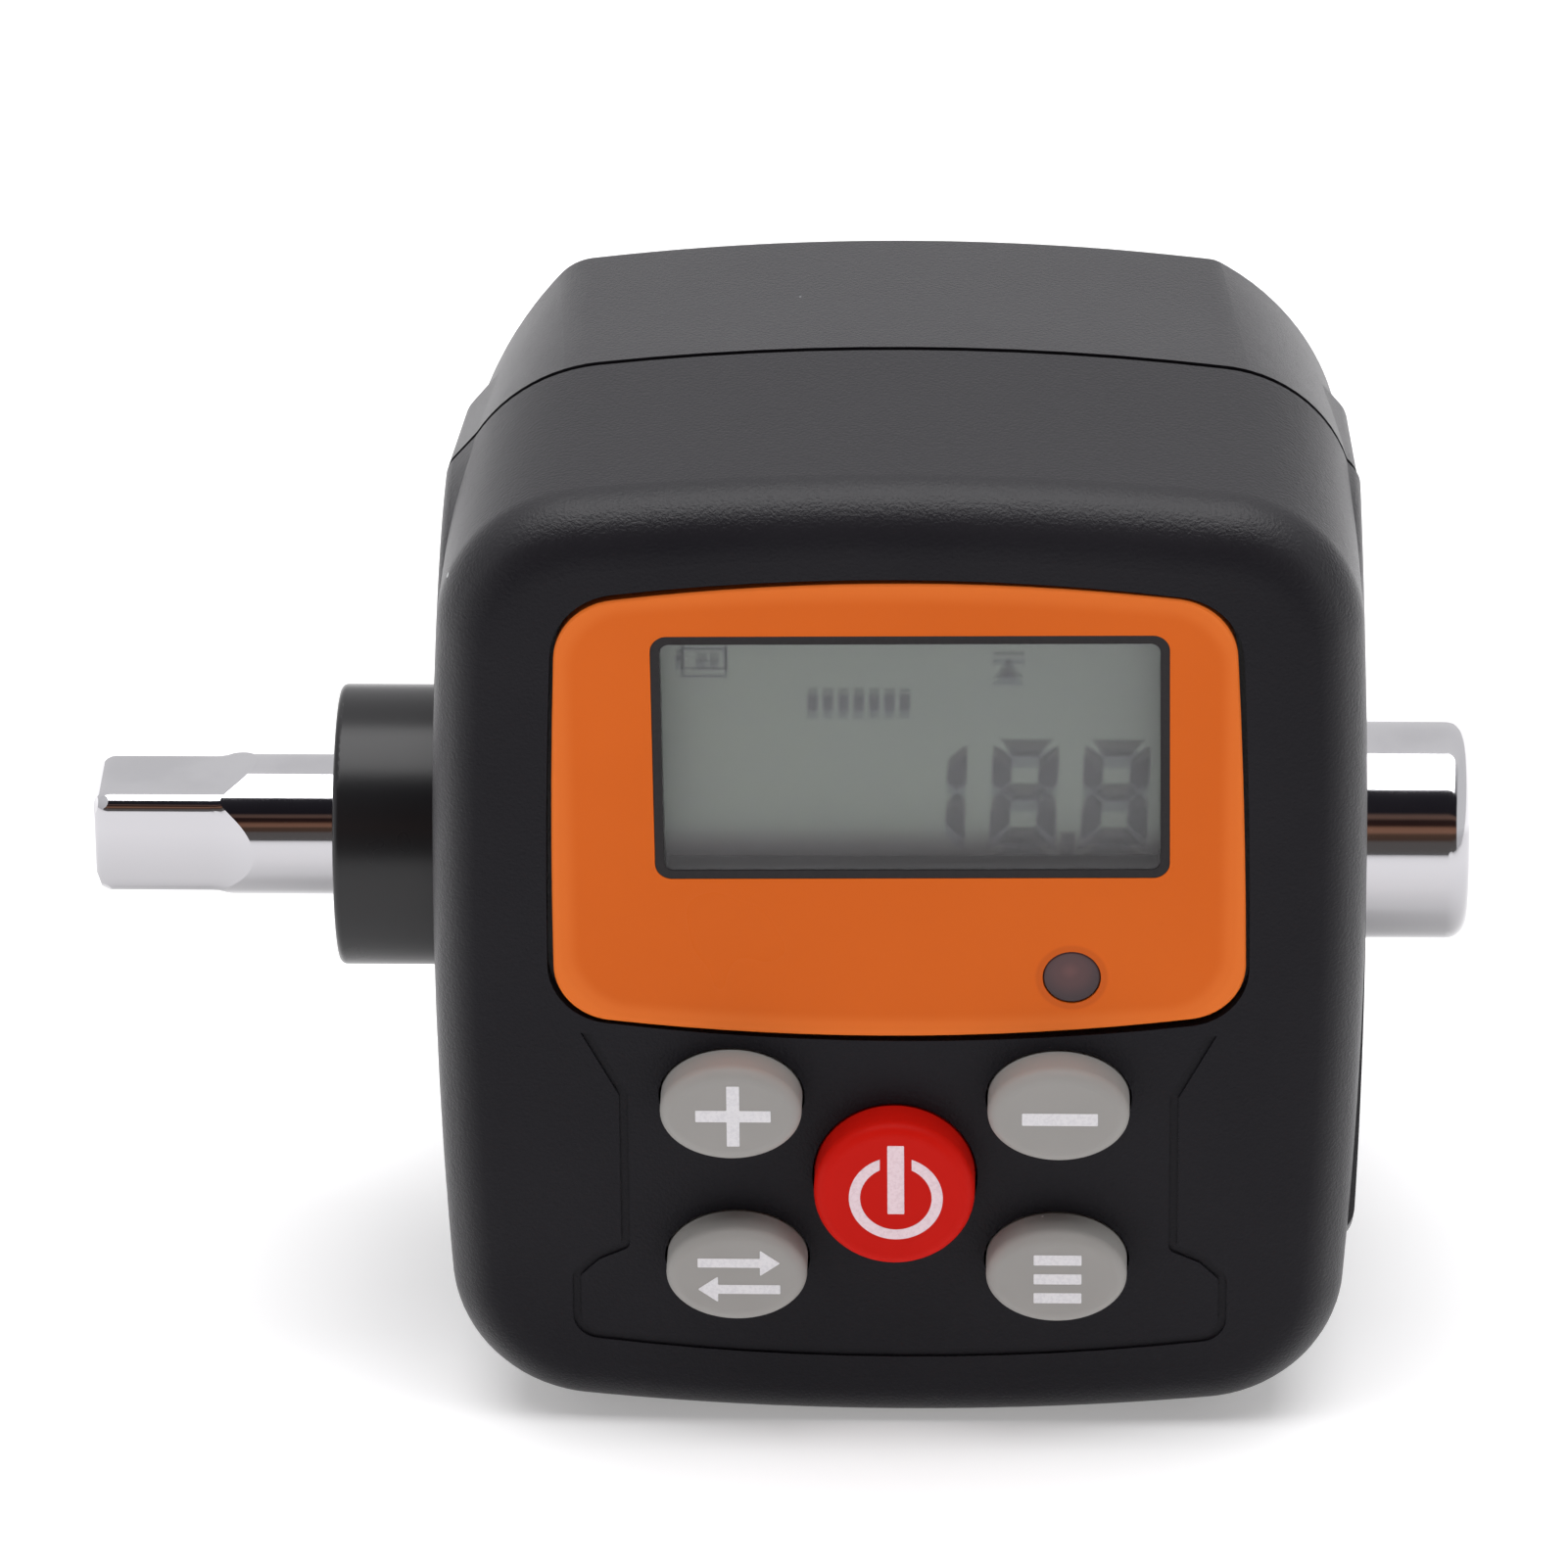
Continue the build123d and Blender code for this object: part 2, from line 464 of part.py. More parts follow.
# ---- board ----
pcb = prism(Pos(0, 0.6) * RectangleRounded(2 * PCB_HALF_W, 50.6, 2.5), PCB_Y0, PCB_Y1)
for sx in (1, -1):
    for sz in (1, -1):
        cut = box(16.1, 22, -13, -8, 15.5, 21.6)
        pcb = pcb - (cut if sx > 0 else mirror(cut, about=Plane.YZ)) if sz > 0 else pcb - (
            mirror(cut, about=Plane.XY) if sx > 0 else mirror(mirror(cut, about=Plane.YZ), about=Plane.XY)
        )
        pcb = pcb - cyl_y(1.1, -13, -8, sx * PCB_SCREW[0], sz * PCB_SCREW[1])
parts["main_pcb"] = pcb
chip = box(3.5, 13.5, PCB_Y1 + 0.1, PCB_Y1 + 1.5, 12.0, 22.0)
chip = chamfer(chip.faces().sort_by(Axis.Y)[-1].edges(), 0.25)
pins = []
for i in range(11):
    o = 13.0 + i * 0.8
    pins.append(box(2.5, 3.5, PCB_Y1, PCB_Y1 + 0.25, o - 0.15, o + 0.15))
    pins.append(box(13.5, 14.5, PCB_Y1, PCB_Y1 + 0.25, o - 0.15, o + 0.15))
    u = 4.5 + i * 0.8
    pins.append(box(u - 0.15, u + 0.15, PCB_Y1, PCB_Y1 + 0.25, 11.0, 12.0))
    pins.append(box(u - 0.15, u + 0.15, PCB_Y1, PCB_Y1 + 0.25, 22.0, 23.0))
parts["controller_chip"] = Compound([(chip + box(3.5, 13.5, PCB_Y1, PCB_Y1 + 0.3, 12.0, 22.0)).solid()] + [p.solid() for p in pins])
amp = box(6.0, 10.4, PCB_Y1 + 0.02, PCB_Y1 + 1.1, -15.5, -10.5)
apins = []
for i in range(7):
    o = -14.95 + i * 0.65
    apins.append(box(5.0, 6.0, PCB_Y1, PCB_Y1 + 0.2, o - 0.12, o + 0.12).solid())
    apins.append(box(10.4, 11.4, PCB_Y1, PCB_Y1 + 0.2, o - 0.12, o + 0.12).solid())
parts["amplifier_chip"] = Compound([amp.solid()] + apins)
bz = cyl_y(4.5, PCB_Y1, PCB_Y1 + 3.2, -9.0, 16.5) - cyl_y(0.9, PCB_Y1 + 2.4, PCB_Y1 + 4, -9.0, 16.5)
parts["buzzer"] = bz
led = cyl_y(1.45, -17.6, -13.4, *LED_C) + cyl_y(1.9, -13.4, -12.6, *LED_C)
led = fillet(led.edges().filter_by(GeomType.CIRCLE).sort_by(Axis.Y)[0], 1.2)
led = led + cyl_y(0.25, -12.8, PCB_Y0, LED_C[0] - 0.9, LED_C[1]) + cyl_y(0.25, -12.8, PCB_Y0, LED_C[0] + 0.9, LED_C[1])
parts["alarm_led"] = led

# ---- drive shaft ----
prof = [
    (TIP_X, 0), (TIP_X, BAR_R - 1.1), (TIP_X + 0.33, BAR_R - 0.33), (TIP_X + 1.1, BAR_R), (-22.4, BAR_R),
    (-22.4, 6.5), (-15.2, 6.5), (-13.6, 4.5), (6.4, 4.5), (8.0, HUB_R), (19.85, HUB_R),
    (19.85, 5.7), (21.0, 5.7), (21.0, HUB_R), (END_X, HUB_R), (END_X, 0),
]
# the round bar, turned about X
bar = revolve(make_face(Polyline(*[(x, r, 0) for x, r in prof], close=True)), Axis.X)
bar = fillet(bar.faces().sort_by(Axis.X)[-1].edges(), 1.25)
h = SQ / 2
# the square with rounded edges, and its flats' ramps out to the bar
sq_face = Plane(origin=(SQ_END_X, 0, 0), x_dir=(0, 1, 0), z_dir=(1, 0, 0)) * RectangleRounded(SQ, SQ, R_SQ_EDGE)
square = extrude(sq_face, amount=TIP_X - SQ_END_X)
square = fillet(square.faces().sort_by(Axis.X)[0].edges(), R_TIP)
ramp = extrude(sq_face, amount=4.0, taper=-RAMP)
square = square + ramp
knee = [e for e in square.edges() if abs(e.center().X - SQ_END_X) < 1e-3 and abs(e.bounding_box().size.X) < 1e-3]
square = fillet(knee, 3.0)
square = square + box(SQ_END_X + 3.9, 60, -15, 15, -15, 15)
shaft = bar & square
shaft = shaft - box(-12.4, 5.2, 3.5, 10, -8, 8) - box(-12.4, 5.2, -10, -3.5, -8, 8)
socket = box(END_X - SOCKET_DEPTH, END_X + 1, -SOCKET / 2, SOCKET / 2, -SOCKET / 2, SOCKET / 2)
socket = fillet(socket.edges().filter_by(Axis.X), 0.35)
shaft = shaft - socket - cyl_x(3.0, END_X - SOCKET_DEPTH - 1.4, END_X)
lead_in = Pos(END_X - 0.35, 0, 0) * Rot(0, 90, 0) * Cone(3.95, 4.75, 0.8)
shaft = shaft - lead_in
for a in range(4):
    shaft = shaft - (Rot(a * 90, 0, 0) * (Pos(END_X - 4.2, 0, 2.75) * Sphere(1.3)))
shaft = shaft - cyl_y(BALL_R + 0.05, -2.3, 6, BALL_X, 0)
shaft = shaft - cyl_y(1.0, 2.0, 8, -18.5, 0)
parts["drive_shaft"] = shaft

collar = cyl_x(COLLAR_R, COLLAR_X0, COLLAR_X1)
collar = fillet(collar.faces().sort_by(Axis.X)[0].edges(), 0.4)
collar = collar + cyl_x(6.5, COLLAR_X1, -24.15) + cyl_x(8.0, -24.15, -22.45)
collar = collar - cyl_x(BAR_R + 0.015, -40, -20)
parts["shaft_collar"] = collar

bush = cyl_x(9.0, 21.4, 24.2) - cyl_x(HUB_R + 0.03, 20, 30)
bush = chamfer(bush.edges().filter_by(GeomType.CIRCLE), 0.3)
parts["right_bush"] = bush
ring = cyl_x(7.9, 19.95, 20.9) - cyl_x(5.75, 19, 22) - box(19, 22, -10, 0, -2.2, 2.2)
parts["retaining_ring"] = ring
parts["locating_pin"] = chamfer(cyl_y(1.0, 2.0, 10.4, -18.5, 0).edges(), 0.2)
gauges = [
    box(-9.0, -1.0, -3.62, -3.5, -2.2, 2.2).solid(),
    box(-9.0, -1.0, 3.5, 3.62, -2.2, 2.2).solid(),
]
parts["strain_gauges"] = Compound(gauges)

# ---- leads inside the housing: routed in straight runs joined by arcs ----
leads = []
for i, x in enumerate((-8.0, -6.0, -4.0, -2.0)):
    z0 = 1.4 if i % 2 else -1.4
    path = FilletPolyline((x, -3.65, z0), (x, -6.6, z0), (x, -6.6, 9.6), (x, PCB_Y1, 9.6), radius=1.3)
    start = Plane(origin=(x, -3.65, z0), z_dir=(0, -1, 0))
    leads.append(sweep(start * Circle(0.3), path=path).solid())
parts["gauge_leads"] = Compound(leads)
bl = []
for sx in (1, -1):
    x = sx * 8.5
    path = FilletPolyline((x, 8.8, -23.6), (x, -1.0, -23.6), (x, -5.0, -20.6), (x, PCB_Y1, -20.6), radius=2.6)
    start = Plane(origin=(x, 8.8, -23.6), z_dir=(0, -1, 0))
    bl.append(sweep(start * Circle(0.55), path=path).solid())
parts["battery_leads"] = Compound(bl)

# ---- detent on the rear flat of the male square ----
ball_y = h + BALL_OUT - BALL_R
parts["detent_ball"] = Pos(BALL_X, ball_y, 0) * Sphere(BALL_R)
sp0, sp1 = -2.3 + 0.17, ball_y - BALL_R - 0.2
coil = Helix(pitch=0.62, height=sp1 - sp0 - 0.05, radius=0.85)
wire = sweep(Plane(origin=coil @ 0, z_dir=coil % 0) * Circle(0.14), path=coil, is_frenet=True)
parts["detent_spring"] = Pos(BALL_X, sp0 + 0.03, 0) * Rot(-90, 0, 0) * wire

# ---- cells and their contacts ----


def cell(x, sign):
    "AAA cell, its nub up (+1) or down (-1)"
    z_tip = 24.2 if sign > 0 else -24.9
    z_sh = z_tip - sign * 0.8
    z_end = z_tip - sign * 44.5
    c = cyl_z(BAT_R, min(z_sh, z_end), max(z_sh, z_end), x, BAT_Y)
    c = fillet(c.edges().filter_by(GeomType.CIRCLE), 0.5)
    c = c + cyl_z(1.9, min(z_sh, z_tip) - 0.05, max(z_sh, z_tip), x, BAT_Y) if sign > 0 else c + cyl_z(
        1.9, z_tip, z_sh + 0.05, x, BAT_Y)
    return c


parts["battery_1"] = cell(-BAT_X, 1)
parts["battery_2"] = cell(BAT_X, -1)
springs = []
for x, z0, z1 in ((-BAT_X, -24.9, -20.3), (BAT_X, 19.6, 24.2)):
    hx = Helix(pitch=1.5, height=z1 - z0 - 0.75, radius=3.4, cone_angle=-14 if x < 0 else -14)
    s = sweep(Plane(origin=hx @ 0, z_dir=hx % 0) * Circle(0.32), path=hx, is_frenet=True)
    if x < 0:
        springs.append((Pos(x, BAT_Y, z0 + 0.36) * s).solid())
    else:
        springs.append((Pos(x, BAT_Y, z1 - 0.36) * Rot(180, 0, 0) * s).solid())
parts["battery_springs"] = Compound(springs)
plates = [
    box(-10.6, 10.6, 9.4, 18.2, 24.2, 24.58).solid(),
    box(-10.4, -0.6, 9.4, 18.2, -25.28, -24.9).solid(),
    box(0.6, 10.4, 9.4, 18.2, -25.28, -24.9).solid(),
]
parts["battery_plates"] = Compound(plates)


# ---- fasteners ----
def screw(x, z, y_seat, head_r, head_h, shank_r, length):
    s = cyl_y(head_r, y_seat, y_seat + head_h, x, z)
    s = fillet(s.edges().filter_by(GeomType.CIRCLE).sort_by(Axis.Y)[-1], head_h * 0.35)
    for a in (0, 90):
        s = s - (Pos(x, y_seat + head_h, z) * Rot(0, a, 0) * Box(head_r * 1.1, head_h * 1.1, head_r * 0.28))
    s = s + cyl_y(shank_r, y_seat - length, y_seat + 0.01, x, z)
    return s.solid()


hs, ps = [], []
for sx in (1, -1):
    for sz in (1, -1):
        hs.append(screw(sx * SCREW_X, sz * SCREW_Z, 8.0, 2.1, 1.6, 1.1, 17.0))
        ps.append(screw(sx * PCB_SCREW[0], sz * PCB_SCREW[1], PCB_Y1, 1.6, 1.1, 0.7, 5.5))
parts["housing_screws"] = Compound(hs)
parts["pcb_screws"] = Compound(ps)

# ---- write every piece in the shared frame ----
os.makedirs("parts", exist_ok=True)
for name, shape in parts.items():
    moved = Pos(0, 0, SHAFT_Z) * shape
    export_step(moved, f"parts/{name}.step")
print(len(parts), "pieces")
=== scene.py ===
import math

import bmesh
import bpy
from mathutils import Matrix, Vector
from mathutils.geometry import tessellate_polygon


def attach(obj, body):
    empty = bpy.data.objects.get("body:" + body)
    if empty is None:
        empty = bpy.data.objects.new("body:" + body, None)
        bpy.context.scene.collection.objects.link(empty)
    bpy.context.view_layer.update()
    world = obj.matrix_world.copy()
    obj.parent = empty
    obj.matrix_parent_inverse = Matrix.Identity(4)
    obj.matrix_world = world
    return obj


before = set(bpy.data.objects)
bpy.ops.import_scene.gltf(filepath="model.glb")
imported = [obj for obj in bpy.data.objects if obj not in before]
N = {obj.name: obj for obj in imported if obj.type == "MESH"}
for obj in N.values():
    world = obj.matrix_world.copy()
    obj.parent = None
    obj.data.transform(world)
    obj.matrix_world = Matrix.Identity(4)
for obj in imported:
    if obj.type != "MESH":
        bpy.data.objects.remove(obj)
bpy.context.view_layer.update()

MM = 0.001
AXIS_Z = 29.25  # height of the shaft's axis, mm; the drawing coordinates below are centred on it
LENS_Z = 0.35  # height of the status lens above the axis

scene = bpy.context.scene

# ------------------------------------------------------------------ materials


class Mat:
    """A Principled material with small helpers for its node tree."""

    def __init__(self, name, **sockets):
        self.m = bpy.data.materials.new(name)
        self.m.use_nodes = True
        self.nt = self.m.node_tree
        self.b = self.nt.nodes["Principled BSDF"]
        for key, value in sockets.items():
            self.b.inputs[key.replace("_", " ")].default_value = value
        self._coord = None
        self.normal = None

    def node(self, kind, **props):
        n = self.nt.nodes.new(kind)
        for key, value in props.items():
            setattr(n, key, value)
        return n

    def link(self, a, b):
        self.nt.links.new(a, b)

    def coord(self):
        if self._coord is None:
            self._coord = self.node("ShaderNodeTexCoord").outputs["Object"]
        return self._coord

    def scaled(self, factors):
        n = self.node("ShaderNodeVectorMath", operation="MULTIPLY")
        self.link(self.coord(), n.inputs[0])
        n.inputs[1].default_value = factors
        return n.outputs[0]

    def noise(self, scale, detail=2.0, rough=0.5, vec=None, distortion=0.0):
        n = self.node("ShaderNodeTexNoise")
        n.inputs["Scale"].default_value = scale
        n.inputs["Detail"].default_value = detail
        n.inputs["Roughness"].default_value = rough
        n.inputs["Distortion"].default_value = distortion
        self.link(vec or self.coord(), n.inputs["Vector"])
        return n.outputs["Fac"]

    def math(self, op, a, b=None, c=None, clamp=False):
        n = self.node("ShaderNodeMath", operation=op)
        n.use_clamp = clamp
        for socket, value in zip(n.inputs, (a, b, c)):
            if value is None:
                continue
            if isinstance(value, (int, float)):
                socket.default_value = value
            else:
                self.link(value, socket)
        return n.outputs[0]

    def ramp(self, fac, stops, smooth=True):
        """Maps fac through (position, value or colour) stops."""
        n = self.node("ShaderNodeValToRGB")
        n.color_ramp.interpolation = "EASE" if smooth else "LINEAR"
        while len(n.color_ramp.elements) < len(stops):
            n.color_ramp.elements.new(0.5)
        for e, (p, v) in zip(n.color_ramp.elements, stops):
            e.position = p
            e.color = (v, v, v, 1) if isinstance(v, (int, float)) else (*v, 1)
        self.link(fac, n.inputs["Fac"])
        return n.outputs["Color"]

    def mix(self, fac, a, b):
        n = self.node("ShaderNodeMix", data_type="RGBA")
        for socket, value in ((n.inputs[0], fac), (n.inputs[6], a), (n.inputs[7], b)):
            if isinstance(value, (int, float)):
                socket.default_value = value
            elif isinstance(value, tuple):
                socket.default_value = (*value, 1)
            else:
                self.link(value, socket)
        return n.outputs[2]

    def color(self, socket):
        self.link(socket, self.b.inputs["Base Color"])

    def rough(self, fac, low, high):
        n = self.node("ShaderNodeMapRange")
        n.inputs["To Min"].default_value = low
        n.inputs["To Max"].default_value = high
        self.link(fac, n.inputs["Value"])
        self.link(n.outputs[0], self.b.inputs["Roughness"])

    def bump(self, height, distance, strength=1.0):
        n = self.node("ShaderNodeBump")
        n.inputs["Distance"].default_value = distance
        n.inputs["Strength"].default_value = strength
        self.link(height, n.inputs["Height"])
        if self.normal is not None:
            self.link(self.normal, n.inputs["Normal"])
        self.normal = n.outputs[0]
        self.link(self.normal, self.b.inputs["Normal"])

    def specks(self, scale, size, share, seed=0.0):
        """A mask of sparse round specks: about share of the cells hold one, up to size of a cell."""
        v = self.node("ShaderNodeTexVoronoi", feature="F1")
        v.inputs["Scale"].default_value = scale
        off = self.node("ShaderNodeVectorMath", operation="ADD")
        self.link(self.coord(), off.inputs[0])
        off.inputs[1].default_value = (seed, seed * 1.7, seed * 0.6)
        self.link(off.outputs[0], v.inputs["Vector"])
        sep = self.node("ShaderNodeSeparateColor")
        self.link(v.outputs["Color"], sep.inputs[0])
        chosen = self.math("LESS_THAN", sep.outputs[0], share)
        radius = self.math("MULTIPLY", sep.outputs[1], size)
        near = self.math("LESS_THAN", v.outputs["Distance"], radius)
        return self.math("MULTIPLY", chosen, near)


def dusty(mat, colour, dust=(0.42, 0.42, 0.43), scale=260.0, size=0.045, share=0.10, seed=0.0):
    """colour with a few pale dust specks on it."""
    return mat.mix(mat.specks(scale, size, share, seed), colour, dust)


# moulded plastic with a fine spark-eroded grain
plastic = Mat("housing_plastic_fine_grain")
grain = plastic.noise(5200, 3.0, 0.6)
cloud = plastic.noise(55, 3.0, 0.55)
plastic.color(dusty(plastic, plastic.mix(plastic.ramp(cloud, [(0.3, 0.0), (0.7, 1.0)]), (0.0105, 0.0099, 0.0128), (0.0132, 0.0125, 0.0156)), seed=0.31))
plastic.rough(plastic.math("ADD", plastic.math("MULTIPLY", cloud, 0.6), plastic.math("MULTIPLY", grain, 0.4)), 0.30, 0.44)
plastic.bump(grain, 0.000055, 1.0)
# the flat front is duller than the top, the sides and the rounded edge
sep = plastic.node("ShaderNodeSeparateXYZ")
plastic.link(plastic.scaled((1000.0, 1000.0, 1000.0)), sep.inputs[0])
back_of_front = plastic.math("DIVIDE", plastic.math("ADD", sep.outputs[1], 18.85), 0.9, clamp=True)
plastic.link(plastic.math("MULTIPLY_ADD", back_of_front, 0.22, 0.09), plastic.b.inputs["Specular IOR Level"])

# orange moulded panel, clear-printed, with painted light along its edge: a paler band where light would enter the
# clear edge
orange = Mat("panel_orange_gloss", Specular_IOR_Level=0.12, Subsurface_Weight=0.0)
o_cloud = orange.noise(38, 3.0, 0.5)
o_fine = orange.noise(2600, 2.0, 0.5)


def outline_distance(m, half_w, z_mid, half_h, radius, bulge_r):
    """Distance in mm inside the panel's outline: a rounded rectangle whose top and bottom are crowned."""
    sep = m.node("ShaderNodeSeparateXYZ")
    m.link(m.scaled((1000.0, 1000.0, 1000.0)), sep.inputs[0])
    x = sep.outputs[0]
    z = m.math("SUBTRACT", sep.outputs[2], AXIS_Z + z_mid)
    crown = m.math("DIVIDE", m.math("MULTIPLY", x, x), 2.0 * bulge_r)
    az = m.math("ADD", m.math("ABSOLUTE", z), crown)
    dx = m.math("SUBTRACT", m.math("ABSOLUTE", x), half_w - radius)
    dz = m.math("SUBTRACT", az, half_h - radius)
    px = m.math("MAXIMUM", dx, 0.0)
    pz = m.math("MAXIMUM", dz, 0.0)
    out = m.math("SQRT", m.math("ADD", m.math("MULTIPLY", px, px), m.math("MULTIPLY", pz, pz)))
    inside = m.math("MINIMUM", m.math("MAXIMUM", dx, dz), 0.0)
    return m.math("SUBTRACT", radius, m.math("ADD", out, inside))


edge = outline_distance(orange, 19.3, 10.82, 14.18, 4.2, 150.0)
# painted light: the panel's colour turns paler orange within about 1.5 mm of its outline
painted_edge_light = orange.ramp(orange.math("DIVIDE", edge, 4.0, clamp=True), [(0.0, 1.0), (0.12, 0.75), (0.36, 0.0)])
base = orange.mix(orange.ramp(o_cloud, [(0.3, 0.0), (0.7, 1.0)]), (0.680, 0.1210, 0.0055), (0.725, 0.1340, 0.0080))
base = orange.mix(painted_edge_light, base, (0.800, 0.175, 0.022))
# a slightly darker ring round the status lens
sep = orange.node("ShaderNodeSeparateXYZ")
orange.link(orange.scaled((1000.0, 1000.0, 1000.0)), sep.inputs[0])
ox = orange.math("SUBTRACT", sep.outputs[0], 9.8)
oz = orange.math("SUBTRACT", sep.outputs[2], AXIS_Z + LENS_Z)
o_r = orange.math("SQRT", orange.math("ADD", orange.math("MULTIPLY", ox, ox), orange.math("MULTIPLY", oz, oz)))
ring_fac = orange.ramp(orange.math("DIVIDE", orange.math("SUBTRACT", 2.15, o_r), 0.22, clamp=True), [(0.0, 0.0), (1.0, 1.0)])
base = orange.mix(orange.math("MULTIPLY", ring_fac, 0.55), base, (0.520, 0.085, 0.006))
orange.color(dusty(orange, base, (0.80, 0.55, 0.42), 210.0, 0.035, 0.09, 0.77))
orange.rough(o_cloud, 0.24, 0.34)
orange.bump(o_fine, 0.000004, 0.35)

# dark frame round the display window
bezel = Mat("bezel_satin_black", Specular_IOR_Level=0.14)
bz = bezel.noise(3200, 2.0, 0.5)
bezel.color(bezel.mix(bz, (0.016, 0.0140, 0.0155), (0.026, 0.0230, 0.0245)))
bezel.rough(bz, 0.30, 0.44)
bezel.bump(bz, 0.000006, 0.4)

# clear window: nearly all see-through, with a faint gloss
window = Mat("window_clear_acrylic", Roughness=0.04, Alpha=0.06, Specular_IOR_Level=0.5)
wn = window.noise(140, 4.0, 0.6)
window.color(window.mix(wn, (0.70, 0.72, 0.74), (0.86, 0.86, 0.88)))
window.bump(window.noise(90, 2.0, 0.5), 0.00001, 0.15)

# liquid crystal cell: grey-green, darker towards its lower edge where the frame shades it
lcd = Mat("lcd_grey_green", Specular_IOR_Level=0.25)
sep = lcd.node("ShaderNodeSeparateXYZ")
lcd.link(lcd.scaled((1000.0, 1000.0, 1000.0)), sep.inputs[0])
l_noise = lcd.noise(900, 2.0, 0.6)
l_cloud = lcd.noise(70, 2.0, 0.5)
low = lcd.math("DIVIDE", lcd.math("SUBTRACT", sep.outputs[2], AXIS_Z + 6.2), 4.0, clamp=True)
field = lcd.mix(l_cloud, (0.180, 0.208, 0.170), (0.168, 0.200, 0.184))
field = lcd.mix(lcd.ramp(low, [(0.0, 1.0), (0.30, 0.72), (0.75, 0.0)]), field, (0.098, 0.084, 0.089))
field = lcd.mix(lcd.math("MULTIPLY", lcd.ramp(l_noise, [(0.35, 0.0), (0.65, 1.0)]), 0.14), field, (0.15, 0.16, 0.17))
lcd.color(field)
lcd.rough(l_noise, 0.45, 0.6)

reflector = Mat("reflector_film", Metallic=0.6)
reflector.color(reflector.mix(reflector.noise(600, 2.0), (0.55, 0.56, 0.57), (0.70, 0.71, 0.72)))
reflector.rough(reflector.noise(900, 2.0), 0.3, 0.45)

holder = Mat("holder_white_moulded", Specular_IOR_Level=0.4)
holder.color(holder.mix(holder.noise(60, 3.0), (0.58, 0.58, 0.56), (0.68, 0.68, 0.66)))
holder.rough(holder.noise(2000, 2.0), 0.4, 0.55)
holder.bump(holder.noise(2400, 2.0), 0.00001, 0.4)

elastomer = Mat("elastomer_striped", Specular_IOR_Level=0.3)
ew = elastomer.node("ShaderNodeTexWave", wave_type="BANDS", bands_direction="X")
ew.inputs["Scale"].default_value = 1600.0
elastomer.link(elastomer.coord(), ew.inputs["Vector"])
elastomer.color(elastomer.mix(ew.outputs["Fac"], (0.45, 0.38, 0.40), (0.03, 0.03, 0.03)))
elastomer.rough(elastomer.noise(1500, 2.0), 0.6, 0.75)

# smoked lens: dark, a little red, with a painted highlight: lighter red a little above its middle
lens = Mat("lens_smoked", Specular_IOR_Level=0.12)
sep = lens.node("ShaderNodeSeparateXYZ")
lens.link(lens.scaled((1000.0, 1000.0, 1000.0)), sep.inputs[0])
lx = lens.math("SUBTRACT", sep.outputs[0], 9.7)
lz = lens.math("SUBTRACT", sep.outputs[2], AXIS_Z + 0.75)
lr = lens.math("SQRT", lens.math("ADD", lens.math("MULTIPLY", lx, lx), lens.math("MULTIPLY", lz, lz)))
# painted highlight: the colour turns lighter red towards a point just above the lens's middle, fading out over 2 mm
lens_painted_highlight = lens.ramp(lens.math("DIVIDE", lr, 2.0, clamp=True), [(0.0, 1.0), (0.35, 0.55), (1.0, 0.0)])
lens.color(lens.mix(lens_painted_highlight, (0.062, 0.048, 0.053), (0.150, 0.078, 0.078)))
lens.rough(lens.noise(700, 2.0), 0.12, 0.2)

led = Mat("led_red_dome", Roughness=0.12, Specular_IOR_Level=0.5)
led.color(led.mix(led.noise(300, 2.0), (0.45, 0.02, 0.02), (0.60, 0.05, 0.04)))

# silicone keys
key_grey = Mat("key_grey_rubber", Specular_IOR_Level=0.25)
kg = key_grey.noise(3400, 3.0, 0.6)
kc = key_grey.noise(220, 3.0, 0.5)
key_grey.color(dusty(key_grey, key_grey.mix(kc, (0.318, 0.310, 0.297), (0.348, 0.338, 0.324)), (0.75, 0.75, 0.75), 420.0, 0.04, 0.07, 0.13))
key_grey.rough(kg, 0.42, 0.58)
key_grey.bump(kg, 0.000012, 0.45)

key_red = Mat("key_red_rubber", Specular_IOR_Level=0.06)
kr = key_red.noise(3400, 3.0, 0.6)
kc = key_red.noise(220, 3.0, 0.5)
key_red.color(dusty(key_red, key_red.mix(kc, (0.555, 0.0075, 0.0035), (0.600, 0.0105, 0.0055)), (0.80, 0.45, 0.42), 420.0, 0.035, 0.06, 0.57))
key_red.rough(kr, 0.36, 0.5)
key_red.bump(kr, 0.000012, 0.4)

# ink printed on the keys
ink = Mat("key_print_white", Specular_IOR_Level=0.4)
ik = ink.noise(5200, 3.0, 0.65)
ink.color(ink.mix(ink.ramp(ik, [(0.36, 0.0), (0.58, 1.0)]), (0.700, 0.692, 0.722), (0.770, 0.762, 0.786)))
ink.rough(ik, 0.35, 0.6)
ink.bump(ik, 0.000006, 0.4)

ink_pink = Mat("key_print_pinkish", Specular_IOR_Level=0.4)
ik = ink_pink.noise(5200, 3.0, 0.65)
ink_pink.color(ink_pink.mix(ink_pink.ramp(ik, [(0.36, 0.0), (0.58, 1.0)]), (0.78, 0.60, 0.65), (0.85, 0.68, 0.73)))
ink_pink.rough(ik, 0.35, 0.6)
ink_pink.bump(ik, 0.000006, 0.4)

spring_steel = Mat("spring_steel", Metallic=1.0)
spring_steel.color(spring_steel.mix(spring_steel.noise(500, 2.0), (0.42, 0.42, 0.43), (0.56, 0.56, 0.57)))
spring_steel.rough(spring_steel.noise(1800, 2.0), 0.22, 0.36)

board = Mat("board_solder_mask", Specular_IOR_Level=0.5)
board.color(board.mix(board.ramp(board.noise(420, 4.0, 0.6), [(0.44, 0.0), (0.5, 1.0)]), (0.004, 0.060, 0.018), (0.010, 0.105, 0.035)))
board.rough(board.noise(900, 2.0), 0.24, 0.38)

